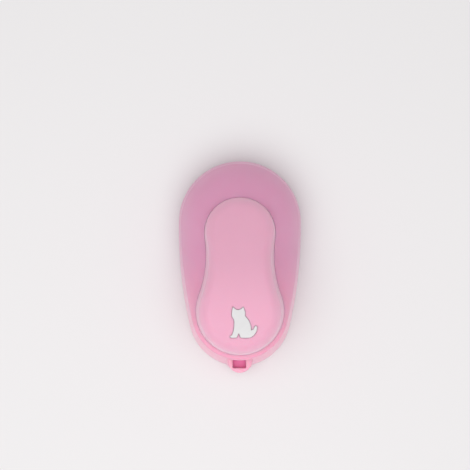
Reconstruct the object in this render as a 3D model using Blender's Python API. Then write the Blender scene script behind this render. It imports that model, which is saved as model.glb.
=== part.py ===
"""Small lever craft punch: a pear-shaped thumb lever on an egg-shaped body cuts a sitting cat out of paper.

The punch stands on its flat bottom rim, +Z is up, and -Y is the front, where paper goes into the slot.
The lever turns about a steel pin at the rear. It pushes a cat-shaped cutter down through a guide plate,
across the paper slot and into a die plate, and two small springs lift cutter and lever again.
"""

import math

import bpy
import numpy as np
from mathutils import Vector

MM = 0.001

# Driving dimensions of the plan: every outline is two circles on the Y axis, joined by side arcs.
# The body's wall leans in from its foot to the parting line at the deck, and on to the housing's shoulder.
REAR_CIRCLE_Y = 15.5 * MM
FOOT_REAR_RADIUS = 21.5 * MM
FOOT_FRONT_Y = -17.3 * MM
FOOT_FRONT_RADIUS = 18.0 * MM
PARTING_REAR_RADIUS = 21.1 * MM
PARTING_FRONT_Y = -15.0 * MM
PARTING_FRONT_RADIUS = 17.3 * MM
SHOULDER_REAR_RADIUS = 20.6 * MM
SHOULDER_FRONT_Y = -15.0 * MM
SHOULDER_FRONT_RADIUS = 16.8 * MM
BODY_SIDE_RADIUS = 150.0 * MM
LEVER_REAR_Y = 11.7 * MM
LEVER_REAR_RADIUS = 12.1 * MM
LEVER_FRONT_Y = -15.0 * MM
LEVER_FRONT_RADIUS = 15.1 * MM
LEVER_WAIST_RADIUS = 40.0 * MM

# Heights
DECK_TOP_Z = 10.5 * MM
DECK_UNDERSIDE_Z = 6.5 * MM
SLOT_HEIGHT = 1.5 * MM
LEAD_IN_Z = 9.0 * MM
JAW_Z = DECK_TOP_Z + SLOT_HEIGHT
PLATE_THICKNESS = 2.2 * MM
SHOULDER_REAR_Z = 15.2 * MM
SHOULDER_FRONT_Z = 20.9 * MM
RIM_REAR_Z = 23.8 * MM
RIM_FRONT_Z = 21.0 * MM
LEVER_PEAK_Z = 33.0 * MM
LEVER_PEAK_Y = -17.0 * MM

# Walls and gaps
SEAT_GAP = 0.15 * MM
SIDE_GAP = 0.3 * MM
LEVER_GAP = 0.25 * MM
BASE_WALL = 2.2 * MM
HOUSING_WALL = 2.2 * MM
LEVER_WALL = 2.0 * MM
LEVER_DRAFT = 1.0 * MM
SHOULDER_TURN = 1.0 * MM

# The front lug and the window in it, which shows the bottom cover's catch
LUG_CENTRE_Y = -32.7 * MM
LUG_RADIUS = 4.3 * MM
LUG_FILLET = 3.0 * MM
LUG_LOW_Z = 0.4 * MM
LUG_HIGH_Z = LEAD_IN_Z - 0.1 * MM
WINDOW_CENTRE = (-0.2 * MM, -33.9 * MM)
WINDOW_HALF_X = 2.3 * MM
WINDOW_HALF_Y = 1.45 * MM
CATCH_TOP_Z = 6.4 * MM
COVER_LOW_Z = 0.5 * MM
COVER_HIGH_Z = 2.35 * MM

# The cutting motif and its place under the lever's front
MOTIF_CENTRE = Vector((1.1 * MM, -18.3 * MM))
CUTTER_CLEARANCE = 0.15 * MM

# The lever's pivot
PIVOT_Y = 17.5 * MM
PIVOT_Z = 17.5 * MM
PIN_RADIUS = 1.5 * MM
PIN_HALF_LENGTH = 13.6 * MM

# Paper slot and die set
THROAT_Y = -2.4 * MM
DIE_HALF_WIDTH = 12.0 * MM
DIE_FRONT_RADIUS = 14.2 * MM
DIE_REAR_Y = 3.0 * MM
DIE_SCREW_XY = ((-8.5 * MM, 0.3 * MM), (8.5 * MM, 0.3 * MM))
HOUSING_SCREW_XY = (
    (-15.7 * MM, 8.5 * MM),
    (15.7 * MM, 8.5 * MM),
    (-8.0 * MM, 29.5 * MM),
    (8.0 * MM, 29.5 * MM),
)

# Guide posts and return springs
POST_X = 8.6 * MM
POST_RADIUS = 1.2 * MM
SPRING_RADIUS = 1.95 * MM
SPRING_WIRE_RADIUS = 0.3 * MM
SPRING_TURNS = 6
POINTS_PER_CURL = 10
HEAD_Z = 24.0 * MM
HEAD_THICKNESS = 2.2 * MM
BUTTON_TOP_Z = 27.3 * MM
BOSS_Z = 28.6 * MM

# Names of the pieces that slide with the cutter, and of the two sides
MOVING_WITH_CUTTER = ("punch_cutter", "punch_head", "punch_screw_left", "punch_screw_right")
SIDES = ("left", "right")

# Facets
AROUND = 72
ROUND_SIDES = 24
RING_CENTRE_Y = -2.0 * MM

# Plastic and metal finishes: colour, roughness, metallic
PINK_BODY = ((0.760, 0.352, 0.505, 1.0), 0.38, 0.0)
PINK_LEVER = ((0.855, 0.440, 0.590, 1.0), 0.36, 0.0)
WHITE_PRINT = ((0.86, 0.85, 0.86, 1.0), 0.5, 0.0)
TOOL_STEEL = ((0.56, 0.56, 0.58, 1.0), 0.32, 1.0)
ZINC_CASTING = ((0.42, 0.43, 0.45, 1.0), 0.45, 1.0)
SPRING_STEEL = ((0.48, 0.47, 0.46, 1.0), 0.28, 1.0)


# Outlines in plan


def arc(centre_x, centre_y, radius, start, end, count):
    """Points on an arc, angles in radians, both ends included."""
    angles = np.linspace(start, end, count)
    return np.column_stack((centre_x + radius * np.cos(angles), centre_y + radius * np.sin(angles)))


def two_circle_outline(rear_y, rear_radius, front_y, front_radius, side_radius, waisted=False):
    """A closed outline round a rear and a front circle, with bulging sides or, if waisted, hollow ones."""
    sign = 1 if waisted else -1
    to_rear = side_radius + sign * rear_radius
    to_front = side_radius + sign * front_radius
    apart = rear_y - front_y
    drop = (to_rear**2 - to_front**2 + apart**2) / (2 * apart)
    side_x = sign * math.sqrt(to_rear**2 - drop**2)
    side_y = rear_y - drop
    rear_touch = math.atan2(sign * (side_y - rear_y), sign * side_x)
    front_touch = math.atan2(sign * (side_y - front_y), sign * side_x)
    dense = 60
    rear = arc(0, rear_y, rear_radius, rear_touch, math.pi / 2, dense)
    front = arc(0, front_y, front_radius, -math.pi / 2, front_touch, dense)
    turn = math.pi if waisted else 0.0
    side = arc(side_x, side_y, side_radius, front_touch + turn, rear_touch + turn, dense)
    right = np.vstack((front, side[1:-1], rear))
    left = right[-2:0:-1] * (-1, 1)
    return np.vstack((right, left))


def ring_of(outline, turn=0.0):
    """The outline read at equal angles round the ring centre, from the rear or turned by part of a step."""
    offset = outline - (0, RING_CENTRE_Y)
    angles = np.unwrap(np.arctan2(offset[:, 1], offset[:, 0]))
    distances = np.hypot(offset[:, 0], offset[:, 1])
    wanted = math.pi / 2 + 2 * math.pi * (np.arange(AROUND) + turn) / AROUND
    reach = np.interp(wanted, angles, distances, period=2 * math.pi)
    return np.column_stack((reach * np.cos(wanted), RING_CENTRE_Y + reach * np.sin(wanted)))


def body_ring(rear_radius, front_y, front_radius, inset):
    side_radius = BODY_SIDE_RADIUS - inset
    return ring_of(
        two_circle_outline(REAR_CIRCLE_Y, rear_radius - inset, front_y, front_radius - inset, side_radius)
    )


def foot_ring(inset=0.0):
    return body_ring(FOOT_REAR_RADIUS, FOOT_FRONT_Y, FOOT_FRONT_RADIUS, inset)


def parting_ring(inset=0.0):
    return body_ring(PARTING_REAR_RADIUS, PARTING_FRONT_Y, PARTING_FRONT_RADIUS, inset)


def shoulder_ring(inset=0.0):
    return body_ring(SHOULDER_REAR_RADIUS, SHOULDER_FRONT_Y, SHOULDER_FRONT_RADIUS, inset)


def base_wall(inset, z):
    """The base's leaning wall at one height, as a ring in space."""
    foot = foot_ring(inset)
    return at_height(foot + (parting_ring(inset) - foot) * (z / DECK_TOP_Z), z)


def lever_ring(inset=0.0, turn=0.0):
    return ring_of(
        two_circle_outline(
            LEVER_REAR_Y,
            LEVER_REAR_RADIUS - inset,
            LEVER_FRONT_Y,
            LEVER_FRONT_RADIUS - inset,
            LEVER_WAIST_RADIUS + inset,
            waisted=True,
        ),
        turn,
    )


def die_outline(grow=0.0):
    """A plate with a straight rear edge, straight sides and a round front, counter-clockwise."""
    half = DIE_HALF_WIDTH + grow
    radius = DIE_FRONT_RADIUS + grow
    corner = math.acos(half / radius)
    front = arc(0, LEVER_FRONT_Y, radius, -math.pi + corner, -corner, 17)
    rear = np.array(((half, DIE_REAR_Y + grow), (-half, DIE_REAR_Y + grow)))
    return np.vstack((front, rear))


def lug_outline(inset, z):
    """The lug's round tip at one height, flared by fillets that touch both the tip and the leaning wall."""
    share = z / DECK_TOP_Z
    wall_y = FOOT_FRONT_Y + (PARTING_FRONT_Y - FOOT_FRONT_Y) * share
    wall_radius = FOOT_FRONT_RADIUS + (PARTING_FRONT_RADIUS - FOOT_FRONT_RADIUS) * share
    tip_radius = LUG_RADIUS - inset
    fillet = LUG_FILLET + inset
    to_wall = wall_radius - inset + fillet
    to_tip = tip_radius + fillet
    apart = wall_y - LUG_CENTRE_Y
    along = (to_wall**2 - to_tip**2 + apart**2) / (2 * apart)
    across = math.sqrt(to_wall**2 - along**2)
    centre_y = wall_y - along
    towards_tip = math.atan2(LUG_CENTRE_Y - centre_y, -across)
    towards_wall = math.atan2(along, -across)
    flare = arc(across, centre_y, fillet, towards_tip, towards_wall, 7)
    tip = arc(0, LUG_CENTRE_Y, tip_radius, -math.pi / 2, towards_tip - math.pi, 9)
    root = np.array(((flare[-1, 0], -27 * MM),))
    right = np.vstack((tip, flare[1:], root))
    return np.vstack((right, right[:0:-1] * (-1, 1)))


def rounded_rectangle(centre, half_x, half_y, radius, corner_points=5):
    corners = []
    for sign_x, sign_y, start in ((1, -1, -90), (1, 1, 0), (-1, 1, 90), (-1, -1, 180)):
        x = centre[0] + sign_x * (half_x - radius)
        y = centre[1] + sign_y * (half_y - radius)
        corners.append(arc(x, y, radius, math.radians(start), math.radians(start + 90), corner_points))
    return np.vstack(corners)


def circle(centre, radius, count=ROUND_SIDES):
    return arc(centre[0], centre[1], radius, 0, 2 * math.pi * (1 - 1 / count), count)


# The sitting cat, drawn about the middle of its own box: x, y and whether the outline runs smooth there
CAT_POINTS = (
    (-3.55, 5.20, False),
    (-2.55, 4.40, True),
    (-1.75, 4.20, True),
    (-0.95, 4.40, True),
    (0.05, 5.20, False),
    (0.62, 3.30, True),
    (0.62, 2.20, True),
    (1.75, 0.75, True),
    (2.45, -1.00, True),
    (2.65, -2.70, False),
    (3.55, -2.35, True),
    (4.10, -1.45, True),
    (4.55, -1.75, True),
    (4.25, -3.20, True),
    (3.25, -4.60, True),
    (1.90, -5.20, True),
    (-0.90, -5.20, False),
    (-1.55, -3.75, True),
    (-2.15, -5.05, True),
    (-2.75, -5.20, True),
    (-4.05, -5.20, True),
    (-4.45, -4.75, True),
    (-3.75, -4.10, True),
    (-3.25, -2.60, True),
    (-3.05, -0.60, True),
    (-3.15, 0.75, True),
    (-3.85, 2.05, True),
    (-3.85, 3.30, True),
)
CAT_STEPS = 3


def cat_outline(grow=0.0):
    """The cat as a closed curve through its points, counter-clockwise, moved out by grow."""
    points = np.array([p[:2] for p in CAT_POINTS]) * MM
    smooth = [p[2] for p in CAT_POINTS]
    count = len(points)
    slopes = (np.roll(points, -1, axis=0) - np.roll(points, 1, axis=0)) / 2
    curve = []
    for i in range(count):
        j = (i + 1) % count
        chord = points[j] - points[i]
        leave = slopes[i] if smooth[i] else chord
        arrive = slopes[j] if smooth[j] else chord
        for t in np.arange(CAT_STEPS) / CAT_STEPS:
            a, b = 2 * t**3 - 3 * t**2 + 1, t**3 - 2 * t**2 + t
            c, d = 3 * t**2 - 2 * t**3, t**3 - t**2
            curve.append(a * points[i] + b * leave + c * points[j] + d * arrive)
    curve = np.array(curve)[::-1]
    edge = np.roll(curve, -1, axis=0) - np.roll(curve, 1, axis=0)
    outward = np.column_stack((edge[:, 1], -edge[:, 0]))
    outward /= np.linalg.norm(outward, axis=1)[:, None]
    return curve + grow * outward + np.array(MOTIF_CENTRE)


# Meshes


def new_object(name, vertices, faces):
    mesh = bpy.data.meshes.new(name)
    mesh.from_pydata([tuple(v) for v in vertices], [], faces)
    mesh.validate()
    obj = bpy.data.objects.new(name, mesh)
    bpy.context.scene.collection.objects.link(obj)
    return obj


def loft(name, rings):
    """A closed solid through rings of equal counts, counter-clockwise from bottom to top.

    The bottom is one flat face. So is a level top, and an arched one is a fan to its middle.
    """
    count = len(rings[0])
    vertices = [v for ring in rings for v in ring]
    faces = [tuple(range(count))[::-1]]
    for level in range(len(rings) - 1):
        low, high = level * count, (level + 1) * count
        for i in range(count):
            j = (i + 1) % count
            faces.append((low + i, low + j, high + j, high + i))
    last = (len(rings) - 1) * count
    if np.ptp(rings[-1][:, 2]) == 0:
        faces.append(tuple(range(last, last + count)))
    else:
        middle = len(vertices)
        vertices.append(np.mean(rings[-1], axis=0))
        faces.extend((middle, last + i, last + (i + 1) % count) for i in range(count))
    return new_object(name, vertices, faces)


def at_height(outline, z):
    """A plan outline lifted to one height, or to a height for each of its points."""
    return np.column_stack((outline, np.broadcast_to(z, len(outline))))


def prism(name, outline, low, high):
    """An outline carried straight up, with flat ends that follow hollow outlines too."""
    count = len(outline)
    vertices = np.vstack((at_height(outline, low), at_height(outline, high)))
    faces = [(i, (i + 1) % count, count + (i + 1) % count, count + i) for i in range(count)]
    faces.append(tuple(range(count))[::-1])
    faces.append(tuple(range(count, 2 * count)))
    return new_object(name, vertices, faces)


def block(name, low, high):
    corners = np.array(((low[0], low[1]), (high[0], low[1]), (high[0], high[1]), (low[0], high[1])))
    return prism(name, corners, low[2], high[2])


def side_prism(name, outline, half_width):
    """An outline in the Y-Z plane carried across the full width in X."""
    obj = prism(name, np.array(outline), -half_width, half_width)
    points = np.array([v.co for v in obj.data.vertices])
    for vertex, (y, z, x) in zip(obj.data.vertices, points):
        vertex.co = (x, y, z)
    return obj


def turned(name, profile, centre, sides=ROUND_SIDES):
    """A round piece about a vertical axis: profile holds radius and height from bottom to top."""
    return loft(name, [at_height(circle(centre, radius, sides), z) for radius, z in profile])


def rod_across(name, radius, low_x, high_x, sides=ROUND_SIDES):
    """A round bar along X on the pivot's axis."""
    obj = prism(name, circle((PIVOT_Y, PIVOT_Z), radius, sides), low_x, high_x)
    points = np.array([v.co for v in obj.data.vertices])
    for vertex, (y, z, x) in zip(obj.data.vertices, points):
        vertex.co = (x, y, z)
    return obj


def boolean(obj, other, operation):
    """Joins other to obj or cuts it away, and keeps the result as obj's own mesh."""
    modifier = obj.modifiers.new(operation, "BOOLEAN")
    modifier.object = other
    modifier.operation = operation
    modifier.solver = "EXACT"
    bpy.context.view_layer.update()
    graph = bpy.context.evaluated_depsgraph_get()
    result = bpy.data.meshes.new_from_object(obj.evaluated_get(graph))
    obj.modifiers.clear()
    obj.data = result
    bpy.data.objects.remove(other)
    return obj


def cut(obj, *cutters):
    for cutter in cutters:
        boolean(obj, cutter, "DIFFERENCE")
    return obj


def add(obj, *others):
    for other in others:
        boolean(obj, other, "UNION")
    return obj


def finish(obj, look):
    """Gives a piece its material and smooth shading with crisp edges."""
    colour, roughness, metallic = look
    material = bpy.data.materials.new(obj.name)
    material.use_nodes = True
    shader = material.node_tree.nodes["Principled BSDF"]
    shader.inputs["Base Color"].default_value = colour
    shader.inputs["Roughness"].default_value = roughness
    shader.inputs["Metallic"].default_value = metallic
    obj.data.materials.clear()
    obj.data.materials.append(material)
    if obj.type == "MESH":
        obj.data.shade_smooth()
        obj.data.set_sharp_from_angle(angle=math.radians(35))
    return obj


def carrier(name, location):
    """An empty on a joint's axis, which carries the pieces that move together."""
    empty = bpy.data.objects.new(name, None)
    empty.location = location
    bpy.context.scene.collection.objects.link(empty)
    return empty


def carry(empty, *objects):
    for obj in objects:
        obj.data.transform(empty.matrix_basis.inverted())
        obj.parent = empty


# Base


def make_lug():
    """The front lug, with rounded edges at its top and foot."""
    edge = 0.8 * MM
    levels = (
        (edge, LUG_LOW_Z),
        (0, LUG_LOW_Z + edge),
        (0, LUG_HIGH_Z - edge),
        (0.23 * MM, LUG_HIGH_Z - 0.23 * MM),
        (edge, LUG_HIGH_Z),
    )
    return loft("lug", [at_height(lug_outline(inset, z), z) for inset, z in levels])


def catch_outline(gap):
    """The plan of the cover's front tongue, grown by a gap."""
    x, y = WINDOW_CENTRE
    half = WINDOW_HALF_X - SIDE_GAP + gap
    front = y - WINDOW_HALF_Y + SIDE_GAP - gap
    return np.array(((x - half, front), (x + half, front), (x + half, -29.0 * MM), (x - half, -29.0 * MM)))


def make_base_shell():
    """The lower jaw: an upturned tray whose deck holds the die plate, with a lug and a window in front."""
    edge = 0.8 * MM
    outside = [
        base_wall(edge, 0),
        base_wall(0.23 * MM, 0.23 * MM),
        base_wall(0, edge),
        base_wall(0, DECK_TOP_Z - edge),
        base_wall(0.23 * MM, DECK_TOP_Z - 0.23 * MM),
        base_wall(edge, DECK_TOP_Z),
    ]
    shell = loft("base_shell", outside)
    add(shell, make_lug())
    hollow = loft("hollow", [base_wall(BASE_WALL, -1 * MM), base_wall(BASE_WALL, DECK_UNDERSIDE_Z)])
    front_pad = block("front_pad", (-6.0 * MM, -40 * MM, -2 * MM), (6.0 * MM, -30.4 * MM, 8 * MM))
    cut(hollow, front_pad)
    cut(shell, hollow)
    cut(shell, prism("tongue_way", catch_outline(SIDE_GAP), -1 * MM, COVER_HIGH_Z + SIDE_GAP))
    window = rounded_rectangle(WINDOW_CENTRE, WINDOW_HALF_X, WINDOW_HALF_Y, 0.25 * MM, 3)
    cut(shell, prism("lug_window", window, 1 * MM, 12 * MM))
    for x, y in HOUSING_SCREW_XY:
        add(shell, prism("boss", circle((x, y), 2.9 * MM), 2.5 * MM, 7.5 * MM))
    for x, y in HOUSING_SCREW_XY:
        cut(shell, prism("boss_bore", circle((x, y), 1.4 * MM), 0, 12 * MM))
    rib_low, rib_half, rib_y = 3.2 * MM, 0.6 * MM, HOUSING_SCREW_XY[0][1]
    rib_corners = ((-20 * MM, rib_y - rib_half, rib_low), (20 * MM, rib_y + rib_half, 7.5 * MM))
    cross_rib = block("cross_rib", *rib_corners)
    for x, y in HOUSING_SCREW_XY[:2]:
        cut(cross_rib, prism("rib_gap", circle((x, y), 2.0 * MM), 0, 9 * MM))
    add(shell, cross_rib)
    pocket_floor = DECK_TOP_Z - PLATE_THICKNESS - SEAT_GAP
    cut(shell, prism("die_pocket", die_outline(SIDE_GAP), pocket_floor, 12 * MM))
    window = rounded_rectangle((0, MOTIF_CENTRE.y), 8.4 * MM, 8.2 * MM, 2.5 * MM)
    cut(shell, prism("chip_window", window, 0, 9 * MM))
    for x, y in DIE_SCREW_XY:
        cut(shell, prism("screw_way", circle((x, y), 1.45 * MM), 0, 9 * MM))
    for side in (-1, 1):
        x = side * 12.4 * MM
        pillar_low = (x - 1.2 * MM, PIVOT_Y - 3 * MM, 9 * MM)
        pillar_high = (x + 1.2 * MM, PIVOT_Y + 3 * MM, PIVOT_Z - PIN_RADIUS - SEAT_GAP)
        add(shell, block("pin_pillar", pillar_low, pillar_high))
    lead_in = (
        (-45 * MM, 11 * MM),
        (-45 * MM, LEAD_IN_Z),
        (-32.4 * MM, LEAD_IN_Z),
        (-30.2 * MM, 10.6 * MM),
        (-30.2 * MM, 11 * MM),
    )
    cut(shell, side_prism("lead_in", lead_in, 30 * MM))
    return finish(shell, PINK_BODY)


def make_bottom_cover():
    """The plate that closes the base from below.

    It has a window for the cut pieces, sunk screw seats, and a tongue with a catch for the lug's window.
    """
    inset = BASE_WALL + SIDE_GAP
    cover = loft("bottom_cover", [base_wall(inset, COVER_LOW_Z), base_wall(inset, COVER_HIGH_Z)])
    front_notch = block("notch", (-6.4 * MM, -40 * MM, -2 * MM), (6.4 * MM, -29.8 * MM, 8 * MM))
    cut(cover, front_notch)
    add(cover, prism("tongue", catch_outline(0), COVER_LOW_Z, COVER_HIGH_Z))
    catch_half = (WINDOW_HALF_X - SIDE_GAP, WINDOW_HALF_Y - SIDE_GAP)
    catch_plan = rounded_rectangle(WINDOW_CENTRE, *catch_half, 0.2 * MM, 3)
    add(cover, prism("catch", catch_plan, COVER_LOW_Z + 0.6 * MM, CATCH_TOP_Z))
    window = rounded_rectangle((0, MOTIF_CENTRE.y), 9.6 * MM, 9.2 * MM, 3.5 * MM)
    cut(cover, prism("window", window, -1 * MM, 4 * MM))
    for x, y in HOUSING_SCREW_XY:
        cut(cover, turned("seat", ((2.7 * MM, 0), (2.7 * MM, 1.45 * MM)), (x, y)))
        cut(cover, prism("way", circle((x, y), 1.4 * MM), 0, 4 * MM))
    groove = rounded_rectangle((0, 19.5 * MM), 9.0 * MM, 5.5 * MM, 2.0 * MM)
    cut(cover, prism("groove", groove, 0, 0.95 * MM))
    return finish(cover, PINK_BODY)


# Upper housing


def shoulder_height(y):
    """Where the housing's side turns over into its dome: low at the rear, high round the lever's front."""
    t = np.clip((12 * MM - y) / (34 * MM), 0, 1)
    return SHOULDER_REAR_Z + (SHOULDER_FRONT_Z - SHOULDER_REAR_Z) * t * t * (3 - 2 * t)


def rim_height(y):
    """The dome's height where it meets the lever."""
    t = np.clip((14 * MM - y) / (36 * MM), 0, 1)
    return RIM_REAR_Z + (RIM_FRONT_Z - RIM_REAR_Z) * t * t * (3 - 2 * t)


def dome_rings(bottom_z, inset, drop):
    """The housing's outside, or with inset and drop the hollow inside it, as rings from the bottom up."""
    wall = shoulder_ring(inset)
    shoulder = shoulder_height(wall[:, 1]) - drop
    rings = [at_height(parting_ring(inset), bottom_z), at_height(wall, shoulder - SHOULDER_TURN)]
    for angle in np.radians((30, 60)):
        turned_in = shoulder_ring(inset + SHOULDER_TURN * (1 - math.cos(angle)))
        rings.append(at_height(turned_in, shoulder - SHOULDER_TURN * (1 - math.sin(angle))))
    edge = shoulder_ring(inset + SHOULDER_TURN)
    round_well = lever_ring(-LEVER_GAP - 0.4 * MM)
    rim = rim_height(round_well[:, 1]) - drop
    for share in np.linspace(0, 1, 6):
        across = edge + (round_well - edge) * share
        swell = math.sin(share * math.pi / 2)
        rings.append(at_height(across, shoulder + (rim - shoulder) * (0.55 * share + 0.45 * swell)))
    rings.append(at_height(lever_ring(1.6 * MM), rim))
    return rings


def make_upper_housing():
    """The dome-backed upper jaw, hollow, with a pear-shaped well for the lever and seats for the pin."""
    bottom = DECK_TOP_Z + SEAT_GAP
    housing = loft("upper_housing", dome_rings(bottom, 0, 0))
    hollow = loft("hollow", dome_rings(5 * MM, HOUSING_WALL, 2.0 * MM))
    for place in HOUSING_SCREW_XY:
        cut(hollow, prism("boss", circle(place, 2.9 * MM), 0, 40 * MM))
    seat_low = PIVOT_Z - PIN_RADIUS - SEAT_GAP + SIDE_GAP
    for side in (-1, 1):
        x = side * 12.9 * MM
        low = (x - 1.6 * MM, PIVOT_Y - 3.0 * MM, seat_low)
        high = (x + 1.6 * MM, PIVOT_Y + 3.0 * MM, 40 * MM)
        cut(hollow, block("pin_seat", low, high))
    cut(housing, hollow)
    for place in HOUSING_SCREW_XY:
        cut(housing, prism("pilot", circle(place, 1.3 * MM), 9 * MM, 14.4 * MM))
    pin_half = PIN_RADIUS + 0.2 * MM
    over_pin = arc(PIVOT_Y, PIVOT_Z, pin_half, 0, math.pi, 13)
    below = np.array(((PIVOT_Y - pin_half, 12 * MM), (PIVOT_Y + pin_half, 12 * MM)))
    cut(housing, side_prism("pin_slot", np.vstack((over_pin, below)), PIN_HALF_LENGTH + SIDE_GAP))
    floor = prism("jaw_floor", parting_ring(HOUSING_WALL / 2), JAW_Z - 0.4 * MM, JAW_Z + 1.6 * MM)
    behind = block("behind", (-30 * MM, DIE_REAR_Y + 1.2 * MM, 5 * MM), (30 * MM, 45 * MM, 30 * MM))
    cut(floor, behind)
    add(housing, floor)
    cut(housing, prism("plate_way", die_outline(SIDE_GAP), 5 * MM, 15.5 * MM))
    cut(housing, prism("well", lever_ring(-LEVER_GAP, 0.5), 14.4 * MM, 40 * MM))
    slot = (
        (-45 * MM, 5 * MM),
        (THROAT_Y, 5 * MM),
        (THROAT_Y, JAW_Z),
        (-30.8 * MM, JAW_Z),
        (-33.2 * MM, JAW_Z + 1.3 * MM),
        (-45 * MM, JAW_Z + 1.3 * MM),
    )
    cut(housing, side_prism("slot", slot, 30 * MM))
    return finish(housing, PINK_BODY)


# Die set


def make_cut_plate(name, low):
    """A steel plate with the cat cut through it and two screw holes at its rear."""
    plate = prism(name, die_outline(), low, low + PLATE_THICKNESS)
    cut(plate, prism("cat_hole", cat_outline(CUTTER_CLEARANCE), low - MM, low + PLATE_THICKNESS + MM))
    for x, y in DIE_SCREW_XY:
        cut(plate, prism("hole", circle((x, y), 1.45 * MM), low - MM, low + PLATE_THICKNESS + MM))
    return plate


def make_die_set():
    """Die plate, guide plate, the spacer that sets the slot's height, and the two screws that clamp them."""
    die = make_cut_plate("die_plate", DECK_TOP_Z - PLATE_THICKNESS)
    guide = make_cut_plate("guide_plate", JAW_Z)
    for side in (-1, 1):
        seat = circle((side * POST_X, MOTIF_CENTRE.y), POST_RADIUS + 0.12 * MM)
        cut(guide, prism("post_seat", seat, JAW_Z + 0.8 * MM, JAW_Z + 4 * MM))
    low = (-DIE_HALF_WIDTH, THROAT_Y + SIDE_GAP, DECK_TOP_Z + SEAT_GAP)
    high = (DIE_HALF_WIDTH, DIE_REAR_Y, JAW_Z - SEAT_GAP)
    spacer = block("slot_spacer", low, high)
    for x, y in DIE_SCREW_XY:
        cut(spacer, prism("hole", circle((x, y), 1.45 * MM), low[2] - MM, high[2] + MM))
    head_top = DECK_UNDERSIDE_Z - SEAT_GAP
    for side, place in zip(SIDES, DIE_SCREW_XY):
        profile = (
            (1.9 * MM, head_top - 1.3 * MM),
            (2.3 * MM, head_top - 0.9 * MM),
            (2.3 * MM, head_top),
            (1.25 * MM, head_top),
            (1.25 * MM, JAW_Z + PLATE_THICKNESS - 0.3 * MM),
        )
        finish(turned(f"die_screw_{side}", profile, place), SPRING_STEEL)
    finish(die, TOOL_STEEL)
    finish(guide, TOOL_STEEL)
    finish(spacer, TOOL_STEEL)


def make_housing_screws():
    """Four self-tapping screws that hold cover, base and housing together."""
    profile = (
        (1.7 * MM, 0.65 * MM),
        (2.3 * MM, 0.95 * MM),
        (2.3 * MM, 1.35 * MM),
        (1.1 * MM, 1.35 * MM),
        (1.1 * MM, 12.8 * MM),
        (0.3 * MM, 14.0 * MM),
    )
    names = [f"housing_screw_{row}_{side}" for row in ("middle", "rear") for side in SIDES]
    for name, place in zip(names, HOUSING_SCREW_XY):
        finish(turned(name, profile, place), SPRING_STEEL)


# Posts, springs and pin


def make_guide_post(name, side):
    top = HEAD_Z + HEAD_THICKNESS - 0.7 * MM
    profile = (
        (POST_RADIUS, JAW_Z + 0.8 * MM + SEAT_GAP),
        (POST_RADIUS, top - 0.4 * MM),
        (POST_RADIUS - 0.4 * MM, top),
    )
    return finish(turned(name, profile, (side * POST_X, MOTIF_CENTRE.y), 20), TOOL_STEEL)


def spring_points(side):
    """A compression spring round its post, whose first and last turns lie closer, as ground ends do."""
    low = JAW_Z + PLATE_THICKNESS + SPRING_WIRE_RADIUS + SEAT_GAP
    high = HEAD_Z - SPRING_WIRE_RADIUS - SEAT_GAP
    share = np.linspace(0, 1, SPRING_TURNS * POINTS_PER_CURL + 1)
    angle = 2 * math.pi * SPRING_TURNS * share
    end_ease = 0.30
    eased = share - end_ease * np.sin(2 * math.pi * share) / (2 * math.pi)
    x = side * POST_X + SPRING_RADIUS * np.cos(angle)
    y = MOTIF_CENTRE.y + SPRING_RADIUS * np.sin(angle)
    return np.column_stack((x, y, low + (high - low) * eased))


def make_return_spring(name, side):
    points = spring_points(side)
    rise = points[POINTS_PER_CURL:, 2] - points[:-POINTS_PER_CURL, 2]
    print(f"{name}: least gap between curls {(rise.min() - 2 * SPRING_WIRE_RADIUS) / MM:.2f} mm")
    curve = bpy.data.curves.new(name, "CURVE")
    curve.dimensions = "3D"
    curve.bevel_depth = SPRING_WIRE_RADIUS
    curve.bevel_resolution = 1
    curve.use_fill_caps = True
    spline = curve.splines.new("POLY")
    spline.points.add(len(points) - 1)
    for point, place in zip(spline.points, points):
        point.co = (*place, 1)
    obj = bpy.data.objects.new(name, curve)
    bpy.context.scene.collection.objects.link(obj)
    return finish(obj, SPRING_STEEL)


def make_pivot_pin():
    pin = rod_across("pivot_pin", PIN_RADIUS, -PIN_HALF_LENGTH, PIN_HALF_LENGTH)
    return finish(pin, TOOL_STEEL)


# Lever


def lever_top(plan):
    """The height of the lever's arched top at points of the plan."""
    along = (plan[:, 1] - LEVER_PEAK_Y) / MM
    across = plan[:, 0] / MM
    return LEVER_PEAK_Z - (0.0040 * along**2 + 0.0035 * across**2) * MM


def skirt_bottom(y):
    """The lever's lower edge, which rises towards the front so that it stays clear of the guide plate."""
    rear_y, front_y = LEVER_REAR_Y + LEVER_REAR_RADIUS, LEVER_FRONT_Y - LEVER_FRONT_RADIUS
    share = (rear_y - y) / (rear_y - front_y)
    return (15.4 + (20.0 - 15.4) * share) * MM


def drafted_lever_ring(inset):
    """The lever's outline drawn in by its draft, which grows from nothing at the rear to full at the waist."""
    wide = lever_ring(inset)
    share = np.clip((20 * MM - wide[:, 1]) / (30 * MM), 0, 1)
    return wide + (lever_ring(inset + LEVER_DRAFT) - wide) * share[:, None]


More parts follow.
